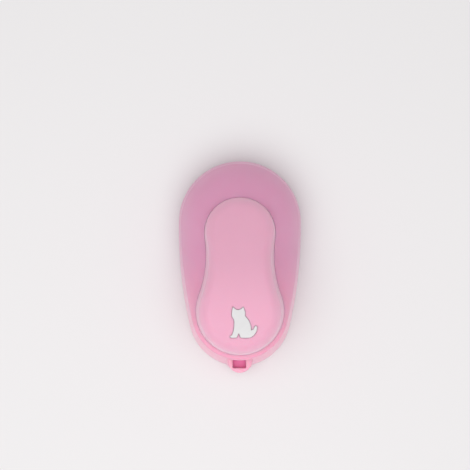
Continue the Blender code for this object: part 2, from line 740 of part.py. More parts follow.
def lever_rings(inset, drop, low, edge_radius):
    """The lever's outside, or with inset and drop the hollow inside it.

    The skirt is upright below the housing's rim, leans in above it, and turns into an arched top.
    """
    foot = lever_ring(inset)
    shoulder = drafted_lever_ring(inset)
    turn_z = lever_top(shoulder) - drop - edge_radius
    rings = [
        at_height(foot, low),
        at_height(foot, np.minimum(rim_height(foot[:, 1]), turn_z - 0.5 * MM)),
        at_height(shoulder, turn_z),
    ]
    for angle in np.radians((22.5, 45, 67.5)):
        ring = drafted_lever_ring(inset + edge_radius * (1 - math.cos(angle)))
        rings.append(at_height(ring, lever_top(ring) - drop - edge_radius * (1 - math.sin(angle))))
    edge = drafted_lever_ring(inset + edge_radius)
    middle = np.array((0, RING_CENTRE_Y))
    for share in (1.0, 0.72, 0.38):
        ring = middle + (edge - middle) * share
        rings.append(at_height(ring, lever_top(ring) - drop))
    return rings


def make_lever_cap():
    """The thumb lever: a hollow cap with bosses for the pin, ribs, stop tabs and a seat for the motif."""
    foot = lever_ring()
    lever = loft("lever_cap", lever_rings(0, 0, skirt_bottom(foot[:, 1]), 2.6 * MM))
    hollow = loft("hollow", lever_rings(LEVER_WALL, LEVER_WALL, 5 * MM, 1.2 * MM))
    cut(hollow, prism("press_boss", circle((0, MOTIF_CENTRE.y), 3.6 * MM), BOSS_Z, 40 * MM))
    for x in (-3.0 * MM, 3.0 * MM):
        low = (x - 0.6 * MM, -15.6 * MM, 27.0 * MM)
        high = (x + 0.6 * MM, 9.0 * MM, 40 * MM)
        cut(hollow, block("rib", low, high))
    cut(lever, hollow)
    for side in (-1, 1):
        x_range = sorted((side * 5.0 * MM, side * 9.4 * MM))
        add(lever, rod_across("pin_boss", 3.1 * MM, *x_range))
    cut(lever, rod_across("pin_bore", PIN_RADIUS + 0.1 * MM, -20 * MM, 20 * MM))
    for side in (-1, 1):
        x_range = sorted((side * 10.0 * MM, side * 13.4 * MM))
        low = (x_range[0], -3.6 * MM, 16.6 * MM)
        high = (x_range[1], 1.4 * MM, 17.8 * MM)
        add(lever, block("stop_tab", low, high))
    cut(lever, prism("motif_seat", cat_outline(0.12 * MM), LEVER_PEAK_Z - 0.75 * MM, 36 * MM))
    return finish(lever, PINK_LEVER)


def make_shape_label():
    """The white cat let into the lever's top, which shows what the punch cuts."""
    label = prism("shape_label", cat_outline(), LEVER_PEAK_Z - 0.6 * MM, LEVER_PEAK_Z + 0.02 * MM)
    return finish(label, WHITE_PRINT)


def make_press_pad():
    """A steel button under the lever's boss, which bears on the cutter's head."""
    top = BOSS_Z - SEAT_GAP
    low = BUTTON_TOP_Z + 0.25 * MM
    profile = ((2.6 * MM, low), (3.0 * MM, low + 0.25 * MM), (3.0 * MM, top))
    return finish(turned("press_pad", profile, (0, MOTIF_CENTRE.y)), TOOL_STEEL)


# Cutter


def make_cutter():
    """The cat-shaped cutter, its cross head that slides on the posts, and the screws between them."""
    cutter = prism("punch_cutter", cat_outline(), JAW_Z + 0.5 * MM, HEAD_Z - SEAT_GAP)
    relief = (
        (-25 * MM, 10 * MM),
        (-11 * MM, 10 * MM),
        (-11 * MM, 12.5 * MM),
        (MOTIF_CENTRE.y, 13.2 * MM),
        (-25 * MM, 12.5 * MM),
    )
    cut(cutter, side_prism("shear_relief", relief, 10 * MM))
    centre = (0, MOTIF_CENTRE.y)
    plan = rounded_rectangle(centre, 10.7 * MM, 4.0 * MM, 3.4 * MM)
    head = prism("punch_head", plan, HEAD_Z, HEAD_Z + HEAD_THICKNESS)
    button = turned(
        "button",
        (
            (3.6 * MM, HEAD_Z + 1 * MM),
            (3.6 * MM, BUTTON_TOP_Z - 0.9 * MM),
            (3.2 * MM, BUTTON_TOP_Z - 0.5 * MM),
            (2.4 * MM, BUTTON_TOP_Z - 0.2 * MM),
            (1.2 * MM, BUTTON_TOP_Z),
        ),
        centre,
    )
    add(head, button)
    for side in (-1, 1):
        bore = circle((side * POST_X, MOTIF_CENTRE.y), POST_RADIUS + 0.15 * MM)
        cut(head, prism("bore", bore, HEAD_Z - MM, HEAD_Z + 5 * MM))
    for side, screw_x in zip(SIDES, (-5.4 * MM, 5.4 * MM)):
        place = (screw_x, MOTIF_CENTRE.y)
        seat = circle(place, 1.25 * MM)
        cut(head, prism("seat", seat, HEAD_Z + HEAD_THICKNESS - 0.7 * MM, HEAD_Z + 5 * MM))
        profile = (
            (1.1 * MM, HEAD_Z + HEAD_THICKNESS - 0.55 * MM),
            (1.1 * MM, HEAD_Z + HEAD_THICKNESS - 0.1 * MM),
            (0.8 * MM, HEAD_Z + HEAD_THICKNESS + 0.1 * MM),
        )
        finish(turned(f"punch_screw_{side}", profile, place, 16), SPRING_STEEL)
    finish(cutter, TOOL_STEEL)
    finish(head, ZINC_CASTING)


def main():
    for obj in list(bpy.data.objects):
        bpy.data.objects.remove(obj)
    make_base_shell()
    make_bottom_cover()
    make_upper_housing()
    make_die_set()
    make_housing_screws()
    make_guide_post("guide_post_left", -1)
    make_guide_post("guide_post_right", 1)
    make_return_spring("return_spring_left", -1)
    make_return_spring("return_spring_right", 1)
    make_pivot_pin()
    pivot = carrier("lever_pivot", (0, PIVOT_Y, PIVOT_Z))
    carry(pivot, make_lever_cap(), make_shape_label(), make_press_pad())
    make_cutter()
    slide = carrier("cutter_slide", (0, MOTIF_CENTRE.y, JAW_Z))
    carry(slide, *(bpy.data.objects[n] for n in MOVING_WITH_CUTTER))


main()
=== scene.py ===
# %% [markdown]
# # A small lever craft punch, dressed
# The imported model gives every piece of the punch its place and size, as plain faceted solids. This
# notebook replaces the ones that show with fine surfaces, gives each finish its own node material, and
# looks at the punch from straight above, as the photograph does, under plain soft light.

# %% Frame and units
import math

import bmesh
import bpy
import numpy as np
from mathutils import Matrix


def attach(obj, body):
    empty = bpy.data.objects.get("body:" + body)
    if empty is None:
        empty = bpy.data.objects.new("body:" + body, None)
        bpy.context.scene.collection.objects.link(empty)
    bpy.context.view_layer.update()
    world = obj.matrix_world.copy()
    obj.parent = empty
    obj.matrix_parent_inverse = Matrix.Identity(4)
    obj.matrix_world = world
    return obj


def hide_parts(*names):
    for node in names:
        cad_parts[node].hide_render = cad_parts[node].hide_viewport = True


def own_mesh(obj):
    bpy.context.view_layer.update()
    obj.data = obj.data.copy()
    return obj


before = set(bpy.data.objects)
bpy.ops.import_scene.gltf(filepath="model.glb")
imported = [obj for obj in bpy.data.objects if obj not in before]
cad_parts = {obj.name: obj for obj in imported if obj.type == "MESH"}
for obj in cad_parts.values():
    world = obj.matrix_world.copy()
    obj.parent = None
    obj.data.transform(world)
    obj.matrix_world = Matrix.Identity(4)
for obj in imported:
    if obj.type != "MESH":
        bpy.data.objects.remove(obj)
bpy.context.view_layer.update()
scene = bpy.context.scene
scene.view_settings.view_transform = "Standard"
MM = 0.001

# %% [markdown]
# ## The camera
# The picture was taken from straight above, so the camera only needs a height, the point that it looks
# down at, and how much of the floor it sees. A real camera close to a small thing sees its top larger
# than its foot, so a perspective lens is used and not an orthographic one.

# %% Camera
CAMERA_HEIGHT = 700 * MM
VIEW_CENTRE = (-1.7 * MM, 11.05 * MM)
FLOOR_IN_VIEW = 165.8 * MM
SENSOR_WIDTH_MM = 36

camera_data = bpy.data.cameras.new("camera_above")
camera_data.sensor_width = SENSOR_WIDTH_MM
camera_data.lens = SENSOR_WIDTH_MM * CAMERA_HEIGHT / FLOOR_IN_VIEW
camera_data.clip_start = 10 * MM
camera = bpy.data.objects.new("camera_above", camera_data)
camera.location = (*VIEW_CENTRE, CAMERA_HEIGHT)
scene.collection.objects.link(camera)
scene.camera = camera
print("lens in mm:", round(camera_data.lens, 1))

# %% [markdown]
# ## Surfaces from rows of points
# A moulded shell is easiest to see as a stack of closed rows of points: each row runs once round the
# punch, and quads join it to the next row. The rows are whole numpy arrays, so a shape is changed by
# changing one formula. A row can close the surface at a pole, or the last row can meet the first, which
# makes a ring like a tyre's.


# %% Rows to meshes
def rows_to_mesh(rows, loop=False, low_pole=False, high_pole=False):
    """Points and faces of a stack of rows.

    Quads join each point to its neighbour in the row and to the next row. With loop the last row meets the
    first, and a pole is a fan of triangles to the mean point of an end row.
    """
    grid = np.stack(rows)
    count, columns = grid.shape[:2]
    index = np.arange(count * columns).reshape(count, columns)
    beside = np.roll(index, -1, axis=1)
    above, above_beside = np.roll(index, -1, axis=0), np.roll(beside, -1, axis=0)
    quads = np.stack((index, beside, above_beside, above), axis=-1)
    faces = quads[: None if loop else -1].reshape(-1, 4).tolist()
    points = grid.reshape(-1, 3)
    for wanted, row, flip in ((low_pole, 0, False), (high_pole, -1, True)):
        if wanted:
            pole = np.full(columns, len(points))
            fan = np.column_stack((pole, beside[row], index[row]))
            points = np.vstack((points, grid[row].mean(axis=0)))
            faces += (fan[:, ::-1] if flip else fan).tolist()
    return points, faces


# %% [markdown]
# ## Pieces and Boolean tools
# A piece is one object at the origin, with its place in its mesh. A surface made of rows may come out inside
# out, and the sign of its volume tells. Windows, seats and recesses could be rows too, but cutting them with
# a Boolean leaves the rows simple, and the exact solver keeps the mesh closed.

# %% New pieces
SHARP_EDGE = math.radians(40)


def shade(obj):
    """Smooth shading that stays crisp at edges sharper than the angle."""
    obj.data.shade_smooth()
    obj.data.set_sharp_from_angle(angle=SHARP_EDGE)
    print(obj.name, len(obj.data.polygons), "faces")


def new_piece(name, surface):
    """One object from a closed surface, turned outward if its signed volume is negative."""
    points, faces = surface
    data = bpy.data.meshes.new(name)
    data.from_pydata(points, [], faces)
    build = bmesh.new()
    build.from_mesh(data)
    if build.calc_volume(signed=True) < 0:
        bmesh.ops.reverse_faces(build, faces=build.faces)
    build.to_mesh(data)
    build.free()
    obj = bpy.data.objects.new(name, data)
    scene.collection.objects.link(obj)
    shade(obj)
    return obj


# %% Cuts and additions
def combine(obj, operation, surface):
    """Cuts a closed surface out of a piece, or adds it, with an exact Boolean, and keeps the result."""
    tool = new_piece("tool", surface)
    modifier = obj.modifiers.new("combine", "BOOLEAN")
    modifier.operation = operation
    modifier.solver = "EXACT"
    modifier.object = tool
    bpy.context.view_layer.update()
    evaluated = obj.evaluated_get(bpy.context.evaluated_depsgraph_get())
    obj.data = bpy.data.meshes.new_from_object(evaluated)
    obj.modifiers.clear()
    bpy.data.objects.remove(tool)
    shade(obj)


def cut_away(obj, surface):
    """The piece without what lies inside the surface."""
    combine(obj, "DIFFERENCE", surface)


def add_on(obj, surface):
    """The piece together with what lies inside the surface."""
    combine(obj, "UNION", surface)


# %% [markdown]
# ## Outlines in plan
# Seen from above, body and lever are each two circles on the long axis: a rear one and a front one. The
# body's sides bulge gently between them and the lever's are drawn in at the waist. The body has three such
# outlines, at its foot, at the parting line and at its shoulder, because its wall leans in as it rises. They
# could be hand-drawn curves, but an outline of circles that is moved in or out keeps its form if only its
# radii change, so every wall and edge below comes from the same few numbers.

# %% Two-circle outlines
REAR_CIRCLE_Y = 15.5 * MM
BODY_SIDE_RADIUS = 150 * MM
FOOT = (REAR_CIRCLE_Y, 21.5 * MM, -17.3 * MM, 18.0 * MM)
PARTING = (REAR_CIRCLE_Y, 21.1 * MM, -15.0 * MM, 17.3 * MM)
SHOULDER = (15.4 * MM, 20.5 * MM, -15.0 * MM, 16.8 * MM)
LEVER = (11.7 * MM, 12.1 * MM, -15.0 * MM, 15.1 * MM)
LEVER_WAIST_RADIUS = 40 * MM


def arc(centre_x, centre_y, radius, start, end, count=60):
    """Points on a circle between two angles in radians, both included."""
    angles = np.linspace(start, end, count)
    return np.column_stack((centre_x + radius * np.cos(angles), centre_y + radius * np.sin(angles)))


def two_circles(shape, inset=0.0, waisted=False):
    """The closed outline round a rear and a front circle.

    A side circle touches both: from outside where waisted, and otherwise round both. Its centre follows from
    its distances to the two centres, which are sums or differences of the radii.
    """
    rear_y, rear_radius, front_y, front_radius = shape
    rear_radius, front_radius = rear_radius - inset, front_radius - inset
    side_radius = LEVER_WAIST_RADIUS + inset if waisted else BODY_SIDE_RADIUS - inset
    sign = 1 if waisted else -1
    to_rear, to_front = side_radius + sign * rear_radius, side_radius + sign * front_radius
    apart = rear_y - front_y
    drop = (to_rear**2 - to_front**2 + apart**2) / (2 * apart)
    side_x, side_y = sign * math.sqrt(to_rear**2 - drop**2), rear_y - drop
    rear_touch = math.atan2(sign * (side_y - rear_y), sign * side_x)
    front_touch = math.atan2(sign * (side_y - front_y), sign * side_x)
    opposite = math.pi if waisted else 0.0
    front = arc(0, front_y, front_radius, -math.pi / 2, front_touch)
    side = arc(side_x, side_y, side_radius, front_touch + opposite, rear_touch + opposite)
    rear = arc(0, rear_y, rear_radius, rear_touch, math.pi / 2)
    right = np.vstack((front, side[1:-1], rear))
    return np.vstack((right, right[-2:0:-1] * (-1, 1)))


for title, outline in (("foot", two_circles(FOOT)), ("lever", two_circles(LEVER, waisted=True))):
    print(title, "width and length in mm:", (np.ptp(outline, axis=0) / MM).round(2).tolist())

# %% [markdown]
# ## Rows round the punch
# Every row is read at the same angles from one centre, so the rows of different outlines join point to point.
# Even steps would leave the small lug at the front with too few points, so the angles lie closer there.

# %% Rows at shared angles
COLUMNS = 480
FRONT_DENSITY = 0.6
turn = np.arange(COLUMNS) / COLUMNS
ANGLES = math.pi / 2 + 2 * math.pi * turn + FRONT_DENSITY * np.sin(2 * math.pi * turn)
PLAN_CENTRE = np.array((0, -2 * MM))
degrees_apart = np.degrees(np.diff(ANGLES)[[0, COLUMNS // 2]]).round(2).tolist()
print(COLUMNS, "columns, degrees apart at the rear and at the front:", degrees_apart)


def reach(outline, centre=PLAN_CENTRE):
    """How far the outline lies from the centre along each of the shared angles."""
    offset = outline - centre
    angles = np.unwrap(np.arctan2(offset[:, 1], offset[:, 0]))
    return np.interp(ANGLES, angles, np.hypot(*offset.T), period=2 * math.pi)


def ring(distance, centre=PLAN_CENTRE):
    """Plan points at a distance from the centre along each of the shared angles."""
    return centre + np.column_stack((distance * np.cos(ANGLES), distance * np.sin(ANGLES)))


def parting_ring(inset=0.0):
    """The body's outline at the parting line, drawn in by the inset."""
    return ring(reach(two_circles(PARTING, inset)))


def shoulder_ring(inset=0.0):
    """The body's outline where its wall turns over, drawn in by the inset."""
    return ring(reach(two_circles(SHOULDER, inset)))


def lever_ring(inset=0.0):
    """The lever's outline, drawn in by the inset."""
    return ring(reach(two_circles(LEVER, inset, waisted=True)))


def lift(plan, z):
    """Plan points raised to a height, or each to its own."""
    return np.column_stack((plan, np.broadcast_to(z, len(plan))))


# %% Smooth steps and round edges
def smoothstep(value, low, high):
    """0 below low, 1 above high, and an S-curve between them."""
    share = np.clip((value - low) / (high - low), 0, 1)
    return share * share * (3 - 2 * share)


def quarter_circle(radius, count):
    """Steps round an edge, each as its distances from the two faces beside it.

    The distances are the radius times one less the sine, and times one less the cosine, of an even turn.
    """
    angles = np.linspace(0, math.pi / 2, count)
    return np.column_stack((radius * (1 - np.sin(angles)), radius * (1 - np.cos(angles))))


def rounded(corners, steps=8):
    """A profile through corners of (across, height, radius), which the first and the last one end.

    Each corner between is rounded by an arc that touches both its edges: its centre lies on the line that
    halves the corner, and the touching point is turned about it through what the edges leave of half a turn.
    """
    places = np.array([c[:2] for c in corners])
    points = [places[:1]]
    for before, corner, after, radius in zip(places, places[1:], places[2:], [c[2] for c in corners[1:]]):
        back, ahead = before - corner, after - corner
        back, ahead = back / np.linalg.norm(back), ahead / np.linalg.norm(ahead)
        half = math.acos(np.clip(back @ ahead, -1, 1)) / 2
        middle = (back + ahead) / np.linalg.norm(back + ahead)
        centre = corner + middle * radius / math.sin(half)
        across, up = corner + back * radius / math.tan(half) - centre
        side = np.sign(back[0] * ahead[1] - back[1] * ahead[0])
        angles = -side * np.linspace(0, math.pi - 2 * half, steps)
        turned_across = across * np.cos(angles) - up * np.sin(angles)
        turned_up = across * np.sin(angles) + up * np.cos(angles)
        points.append(centre + np.column_stack((turned_across, turned_up)))
    return np.vstack((*points, places[-1:]))


# %% [markdown]
# ## Base
# The lower jaw is one moulding: a leaning wall with softly rounded edges, a deck that carries the die plate,
# and at the front a small lug with a window, where the bottom cover's catch snaps in. Wall and lug could be
# two solids that are joined and bevelled. But the lug is the same wall bulging out in plan, so each row takes
# the larger of the two distances, raised where they meet as a mould's fillet would be.

# %% Base wall and lug
DECK_Z = 10.5 * MM
LUG_CENTRE_Y = -32.7 * MM
LUG_RADIUS = 4.3 * MM
LUG_FILLET = 3.2 * MM
LUG_STEEPNESS = 1.7


def base_reach(inset, z):
    """How far the base's wall lies from the centre at a height, or at a height for each angle.

    The wall leans: the distance goes evenly from the foot's to the parting line's.
    """
    foot, parting = reach(two_circles(FOOT, inset)), reach(two_circles(PARTING, inset))
    return foot + (parting - foot) * z / DECK_Z


def lug_reach(inset):
    """Distance to the far side of the lug's disc along each angle.

    It is the further of the two points where a line meets a circle. Where the angle misses the disc, the
    root is taken of the shortfall and counted down, so that the distance falls away smoothly.
    """
    along = (LUG_CENTRE_Y - PLAN_CENTRE[1]) * np.sin(ANGLES)
    inside = along**2 - (LUG_CENTRE_Y - PLAN_CENTRE[1]) ** 2 + (LUG_RADIUS - inset) ** 2
    return np.where(along > 0, along + np.sign(inside) * np.sqrt(np.abs(inside)), 0)


def base_and_lug_row(inset, z):
    """The larger of the wall's and the lug's distance, raised where they are nearly equal.

    The rise grows with the square of their nearness to a quarter of the fillet, which rounds the corner.
    Where the lug is ahead, the nearness ends sooner, so that its tip isn't moved.
    """
    wall, lug = base_reach(inset, z), lug_reach(inset)
    apart = np.maximum(wall - lug, LUG_STEEPNESS * (lug - wall))
    near = np.maximum(LUG_FILLET - apart, 0) / LUG_FILLET
    return lift(ring(np.maximum(wall, lug) + near**2 * LUG_FILLET / 4), z)


print("base reaches in mm:", (np.ptp(base_and_lug_row(0, 0)[:, :2], axis=0) / MM).round(2).tolist())

# %% [markdown]
# ## Deck and die pocket
# The deck dips at the front to lead paper into the slot. Behind that it has a pocket for the die plate, and a
# window in the pocket's floor where the cut shapes fall. All of it could be cut out afterwards, but read at
# the wall's own angles, pocket and window are just the next rows of the stack.

# %% Deck and pocket in plan
LEAD_IN_Z = 9.0 * MM
LEAD_IN_FROM_Y, LEAD_IN_TO_Y = -32.6 * MM, -30.0 * MM
DIE_HALF_WIDTH, DIE_FRONT_RADIUS, DIE_REAR_Y = 12.0 * MM, 14.2 * MM, 3.0 * MM
DIE_CENTRE = np.array((0, -13 * MM))


def deck_height(y):
    """The deck's height, which falls towards the front edge."""
    return LEAD_IN_Z + (DECK_Z - LEAD_IN_Z) * smoothstep(y, LEAD_IN_FROM_Y, LEAD_IN_TO_Y)


def densely(outline, count=40):
    """The same closed outline with each edge divided, so that straight edges stay straight by angle."""
    edges = zip(outline, np.roll(outline, -1, axis=0))
    return np.vstack([np.linspace(start, end, count, endpoint=False) for start, end in edges])


def rounded_box(centre, half, radius):
    """The plan points of a rectangle with round corners: four quarter circles, joined by its sides."""
    corners = []
    for sign_x, sign_y, start in ((1, 1, 0), (-1, 1, 90), (-1, -1, 180), (1, -1, 270)):
        middle = centre + np.array((sign_x, sign_y)) * (half - radius)
        corners.append(arc(*middle, radius, math.radians(start), math.radians(start + 90), 7))
    return np.vstack(corners)


def box_ring(centre, half, radius):
    """A rectangle with round corners read at the shared angles from its own centre."""
    return ring(reach(densely(rounded_box(centre, half, radius)), centre), centre)


def die_ring(grow):
    """The die plate's outline: a straight rear edge and sides, and a round front."""
    half, radius, rear = DIE_HALF_WIDTH + grow, DIE_FRONT_RADIUS + grow, DIE_REAR_Y + grow
    corner = math.acos(half / radius)
    front = arc(0, LEVER[2], radius, -math.pi + corner, -corner)
    outline = np.vstack((front, ((half, rear), (-half, rear))))
    return ring(reach(densely(outline), DIE_CENTRE), DIE_CENTRE)


# %% Base rows
BASE_EDGE = 0.8 * MM
BASE_ARC = 0.99 * BASE_EDGE  # a little less than the edge, so that no two points fall together
BASE_WALL = 2.2 * MM
DECK_INSETS = np.array((0.95, 1.2, 1.5, 1.9, 2.4, 2.9, 3.5, 4.0)) * MM
DIE_GAP = 0.3 * MM
POCKET_Z = 8.15 * MM
MOTIF_CENTRE = np.array((1.1 * MM, -18.3 * MM))
CHIP_HALF, CHIP_CORNER = np.array((8.4, 8.2)) * MM, 2.5 * MM
TRAY_ROOF_Z = 6.5 * MM
TRAY_FRONT_Y = -30.4 * MM
STANDING_EDGE = 0.2 * MM


def base_rows():
    """Rows from the standing rim up the wall, over the deck, down into the die pocket and the tray, and back.

    The wall's profile has an arc at its foot and one at its top. The first rows of the deck lie evenly
    between the wall's edge and the deck's own outline, and the others are that outline drawn in.
    """
    foot = ((BASE_EDGE, 0, 0), (0, 0, BASE_ARC))
    top = ((0, DECK_Z, BASE_ARC), (BASE_EDGE, DECK_Z, 0))
    rows = []
    for inset, z in rounded(foot + top):
        drop = 0
        if z > DECK_Z / 2:
            drop = deck_height(base_and_lug_row(inset, z)[:, 1]) - DECK_Z
        rows.append(base_and_lug_row(inset, z + drop))
    edge, deck = rows[-1][:, :2], [ring(base_reach(inset, DECK_Z)) for inset in DECK_INSETS]
    for plan in [edge + (deck[0] - edge) * share for share in (0.25, 0.5, 0.75)] + deck:
        rows.append(lift(plan, deck_height(plan[:, 1])))
    pocket = die_ring(DIE_GAP)
    chip_window = box_ring(np.array((0, MOTIF_CENTRE[1])), CHIP_HALF, CHIP_CORNER)
    rows += [lift(pocket, DECK_Z), lift(pocket, POCKET_Z)]
    rows += [lift(chip_window, POCKET_Z), lift(chip_window, TRAY_ROOF_Z)]
    tray_steps = (BASE_WALL, TRAY_ROOF_Z), (BASE_WALL, STANDING_EDGE), (BASE_WALL - STANDING_EDGE, 0)
    for inset, z in tray_steps:
        tray = ring(base_reach(inset, z))
        tray[:, 1] = np.maximum(tray[:, 1], TRAY_FRONT_Y - (BASE_WALL - inset))
        rows.append(lift(tray, z))
    return rows


print("rows in the base:", len(base_rows()))

# %% [markdown]
# ## Tools with a flared rim
# A window cut with a straight tool has an edge as sharp as a knife's, and moulded plastic never has. A bevel
# could round it, but it is fickle on what a Boolean leaves. So the tool itself flares at the rim along a
# quarter circle. The lug's window is cut that way, and a second tool cuts the catch's way in from below.

# %% Cutting tools and base body
WINDOW_CENTRE = np.array((-0.2 * MM, -33.9 * MM))
WINDOW_HALF = np.array((2.3 * MM, 1.45 * MM))
WINDOW_CORNER = 0.3 * MM
WINDOW_DEEP_Z = 1.0 * MM
WINDOW_FLARE = 0.25 * MM
CATCH_WAY = np.array((0, 2.45 * MM))
CATCH_WAY_CORNER = 0.2 * MM
CATCH_WAY_LOW_Z, CATCH_WAY_HIGH_Z = -1.0 * MM, 2.65 * MM
BEYOND_RIM = 3 * MM


def slab(outlines, heights):
    """A stack of outlines closed by one flat face at each end, which may be hollow-sided."""
    points, faces = rows_to_mesh([lift(o, z) for o, z in zip(outlines, heights)])
    count, last = len(outlines[0]), len(points) - len(outlines[0])
    return points, faces + [list(range(count))[::-1], list(range(last, last + count))]


def flared_tool(outline, deep, rim, flare):
    """A cutting tool with a flat end, which opens out along a quarter circle at the rim and runs on.

    The outline is a function of how far it is grown. The tool opens upwards where the rim is above its end.
    """
    way = math.copysign(1, rim - deep)
    below, outward = quarter_circle(flare, 6).T
    heights = [deep, *(rim - way * below), rim + way * BEYOND_RIM]
    return slab([outline(grow) for grow in (0, *outward, flare)], heights)


def lug_window(grow):
    """The lug's window, a rectangle with round corners, grown on all sides."""
    return rounded_box(WINDOW_CENTRE, WINDOW_HALF + grow, WINDOW_CORNER + grow)


base_body = new_piece("base_body", rows_to_mesh(base_rows(), loop=True))
cut_away(base_body, flared_tool(lug_window, WINDOW_DEEP_Z, LEAD_IN_Z, WINDOW_FLARE))
catch_way = rounded_box(WINDOW_CENTRE + CATCH_WAY, WINDOW_HALF + CATCH_WAY, CATCH_WAY_CORNER)
cut_away(base_body, slab([catch_way, catch_way], [CATCH_WAY_LOW_Z, CATCH_WAY_HIGH_Z]))
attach(base_body, "housing")
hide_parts("base_shell")

# %% [markdown]
# ## Bottom cover
# A plate in a deeper pink closes the base from below. It has a window where the cut shapes fall out, four
# sunk screw seats and a shallow recess. Its front tongue runs under the lug and carries the catch that shows
# in the lug's window. The plate itself is a ring of rows round its window. Seats and recess lie off that
# ring, so they are cut with flared tools, and tongue and catch are added.

# %% Bottom plate rows
COVER_LOW_Z = 0.5 * MM
COVER_HIGH_Z = 2.35 * MM
COVER_INSET = BASE_WALL + 0.3 * MM
COVER_EDGE = 0.35 * MM
COVER_FRONT_Y = -29.8 * MM
OUTLET_HALF, OUTLET_CORNER = np.array((9.6, 9.2)) * MM, 3.5 * MM


def cover_side(inset, z):
    """The plate's outline: the base's wall drawn in, and straight behind the lug."""
    plan = ring(base_reach(COVER_INSET + inset, z))
    plan[:, 1] = np.maximum(plan[:, 1], COVER_FRONT_Y + inset)
    return lift(plan, z)


def chip_outlet(grow, z):
    """The window under the die, a rounded rectangle."""
    middle = np.array((0, MOTIF_CENTRE[1]))
    return lift(box_ring(middle, OUTLET_HALF + grow, OUTLET_CORNER + grow), z)


def cover_rows():
    """Rows down the window's lower edge, over the underside, round the outer edge and back across the top.

    Both lower edges are quarter circles.
    """
    edge = quarter_circle(COVER_EDGE, 5) + (0, COVER_LOW_Z)
    rows = [chip_outlet(*step) for step in edge[::-1]] + [cover_side(*step) for step in edge]
    return rows + [cover_side(0, COVER_HIGH_Z), chip_outlet(0, COVER_HIGH_Z)]


bottom_plate = new_piece("bottom_plate", rows_to_mesh(cover_rows(), loop=True))

# %% Tongue, catch, recess and screw seats
TONGUE_BACK = np.array((0, 2.75 * MM))
TONGUE_GAP = 0.3 * MM
TONGUE_CORNER = 0.25 * MM
CATCH_LOW_Z, CATCH_TOP_Z = COVER_LOW_Z + 0.6 * MM, 6.4 * MM
CATCH_GAP = 0.05 * MM
PULL_CENTRE, PULL_HALF = np.array((0, 19.5 * MM)), np.array((9.0, 5.5)) * MM
PULL_CORNER = 2.0 * MM
PULL_Z, PULL_FLARE = 0.95 * MM, 0.25 * MM
SCREW_SEAT_Z, SCREW_SEAT_RADIUS, SCREW_SEAT_FLARE = 1.45 * MM, 2.7 * MM, 0.2 * MM
SCREW_HOLE_RADIUS = 1.4 * MM
SCREW_HOLE_LOW_Z, SCREW_HOLE_HIGH_Z = 1.0 * MM, 4.0 * MM
SCREW_PLACES = {
    "middle_left": (-15.7 * MM, 8.5 * MM),
    "middle_right": (15.7 * MM, 8.5 * MM),
    "rear_left": (-8.0 * MM, 29.5 * MM),
    "rear_right": (8.0 * MM, 29.5 * MM),
}


def disc(centre, radius):
    """The plan points of a full circle."""
    return arc(*centre, radius, 0, 2 * math.pi, 49)[:-1]


def pull_recess(grow):
    """The finger's recess, a rectangle with round corners, grown on all sides."""
    return rounded_box(PULL_CENTRE, PULL_HALF + grow, PULL_CORNER + grow)


def screw_seat(place):
    """The tool for one screw's seat, a disc that flares at the plate's underside."""
    return flared_tool(
        lambda grow: disc(place, SCREW_SEAT_RADIUS + grow), SCREW_SEAT_Z, COVER_LOW_Z, SCREW_SEAT_FLARE
    )


tongue = rounded_box(WINDOW_CENTRE + TONGUE_BACK, WINDOW_HALF - TONGUE_GAP + TONGUE_BACK, TONGUE_CORNER)
catch = lug_window(-CATCH_GAP)
add_on(bottom_plate, slab([tongue, tongue], [COVER_LOW_Z, COVER_HIGH_Z]))
add_on(bottom_plate, slab([catch, catch], [CATCH_LOW_Z, CATCH_TOP_Z]))
cut_away(bottom_plate, flared_tool(pull_recess, PULL_Z, COVER_LOW_Z, PULL_FLARE))
for place in SCREW_PLACES.values():
    cut_away(bottom_plate, screw_seat(place))
    cut_away(bottom_plate, slab([disc(place, SCREW_HOLE_RADIUS)] * 2, [SCREW_HOLE_LOW_Z, SCREW_HOLE_HIGH_Z]))
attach(bottom_plate, "housing")
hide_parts("bottom_cover")

# %% [markdown]
# ## Housing
# The upper jaw rises from a short wall over a round lip into a dome that swells next to the lip, and the dome
# ends at a pear-shaped well where the lever sits. The underside steps up at the throat, which leaves the
# paper slot, and flares at the front. A dome could be pulled from a few faces with subdivision, but its edge
# has to follow the lever's outline closely. So one stack of rows covers it all: up the wall, over the lip and
# the dome, down into the well, and back along the underside.

# %% Heights of the housing
THROAT_Y = -2.4 * MM
JAW_Z = 12.0 * MM
HOUSING_BOTTOM_Z = 10.65 * MM
JAW_FLARE = 1.0 * MM
JAW_FLARE_FROM_Y, JAW_FLARE_TO_Y = -30.4 * MM, -32.6 * MM
SHOULDER_FRONT_Z, SHOULDER_FALL = 20.9 * MM, 5.7 * MM
RIM_FRONT_Z, RIM_RISE = 21.0 * MM, 2.8 * MM


def shoulder_height(y):
    """Where the wall turns over: low at the rear, high round the lever's front."""
    return SHOULDER_FRONT_Z - SHOULDER_FALL * smoothstep(y, -22 * MM, 12 * MM)


def rim_height(y):
    """The dome's height where it meets the lever."""
    return RIM_FRONT_Z + RIM_RISE * smoothstep(y, -22 * MM, 14 * MM)


def underside_height(y):
    """Level behind the throat, one slot height higher in front of it, and flared at the front edge."""
    step = (JAW_Z - HOUSING_BOTTOM_Z) * (y < THROAT_Y)
    return HOUSING_BOTTOM_Z + step + JAW_FLARE * smoothstep(-y, -JAW_FLARE_FROM_Y, -JAW_FLARE_TO_Y)


ends = np.array((SHOULDER[0] + SHOULDER[1], SHOULDER[2] - SHOULDER[3]))
print("shoulder height in mm, rear and front:", (shoulder_height(ends) / MM).round(2).tolist())

# %% Lip and dome
LIP_RADIUS = 2.2 * MM
FRONT_LIP = 0.45
WELL_GAP, WELL_FREEDOM = 0.04 * MM, 0.07 * MM
WELL_LIP = 0.08 * MM
EVEN_RISE = 0.7
FIRST_TURN = math.radians(45)


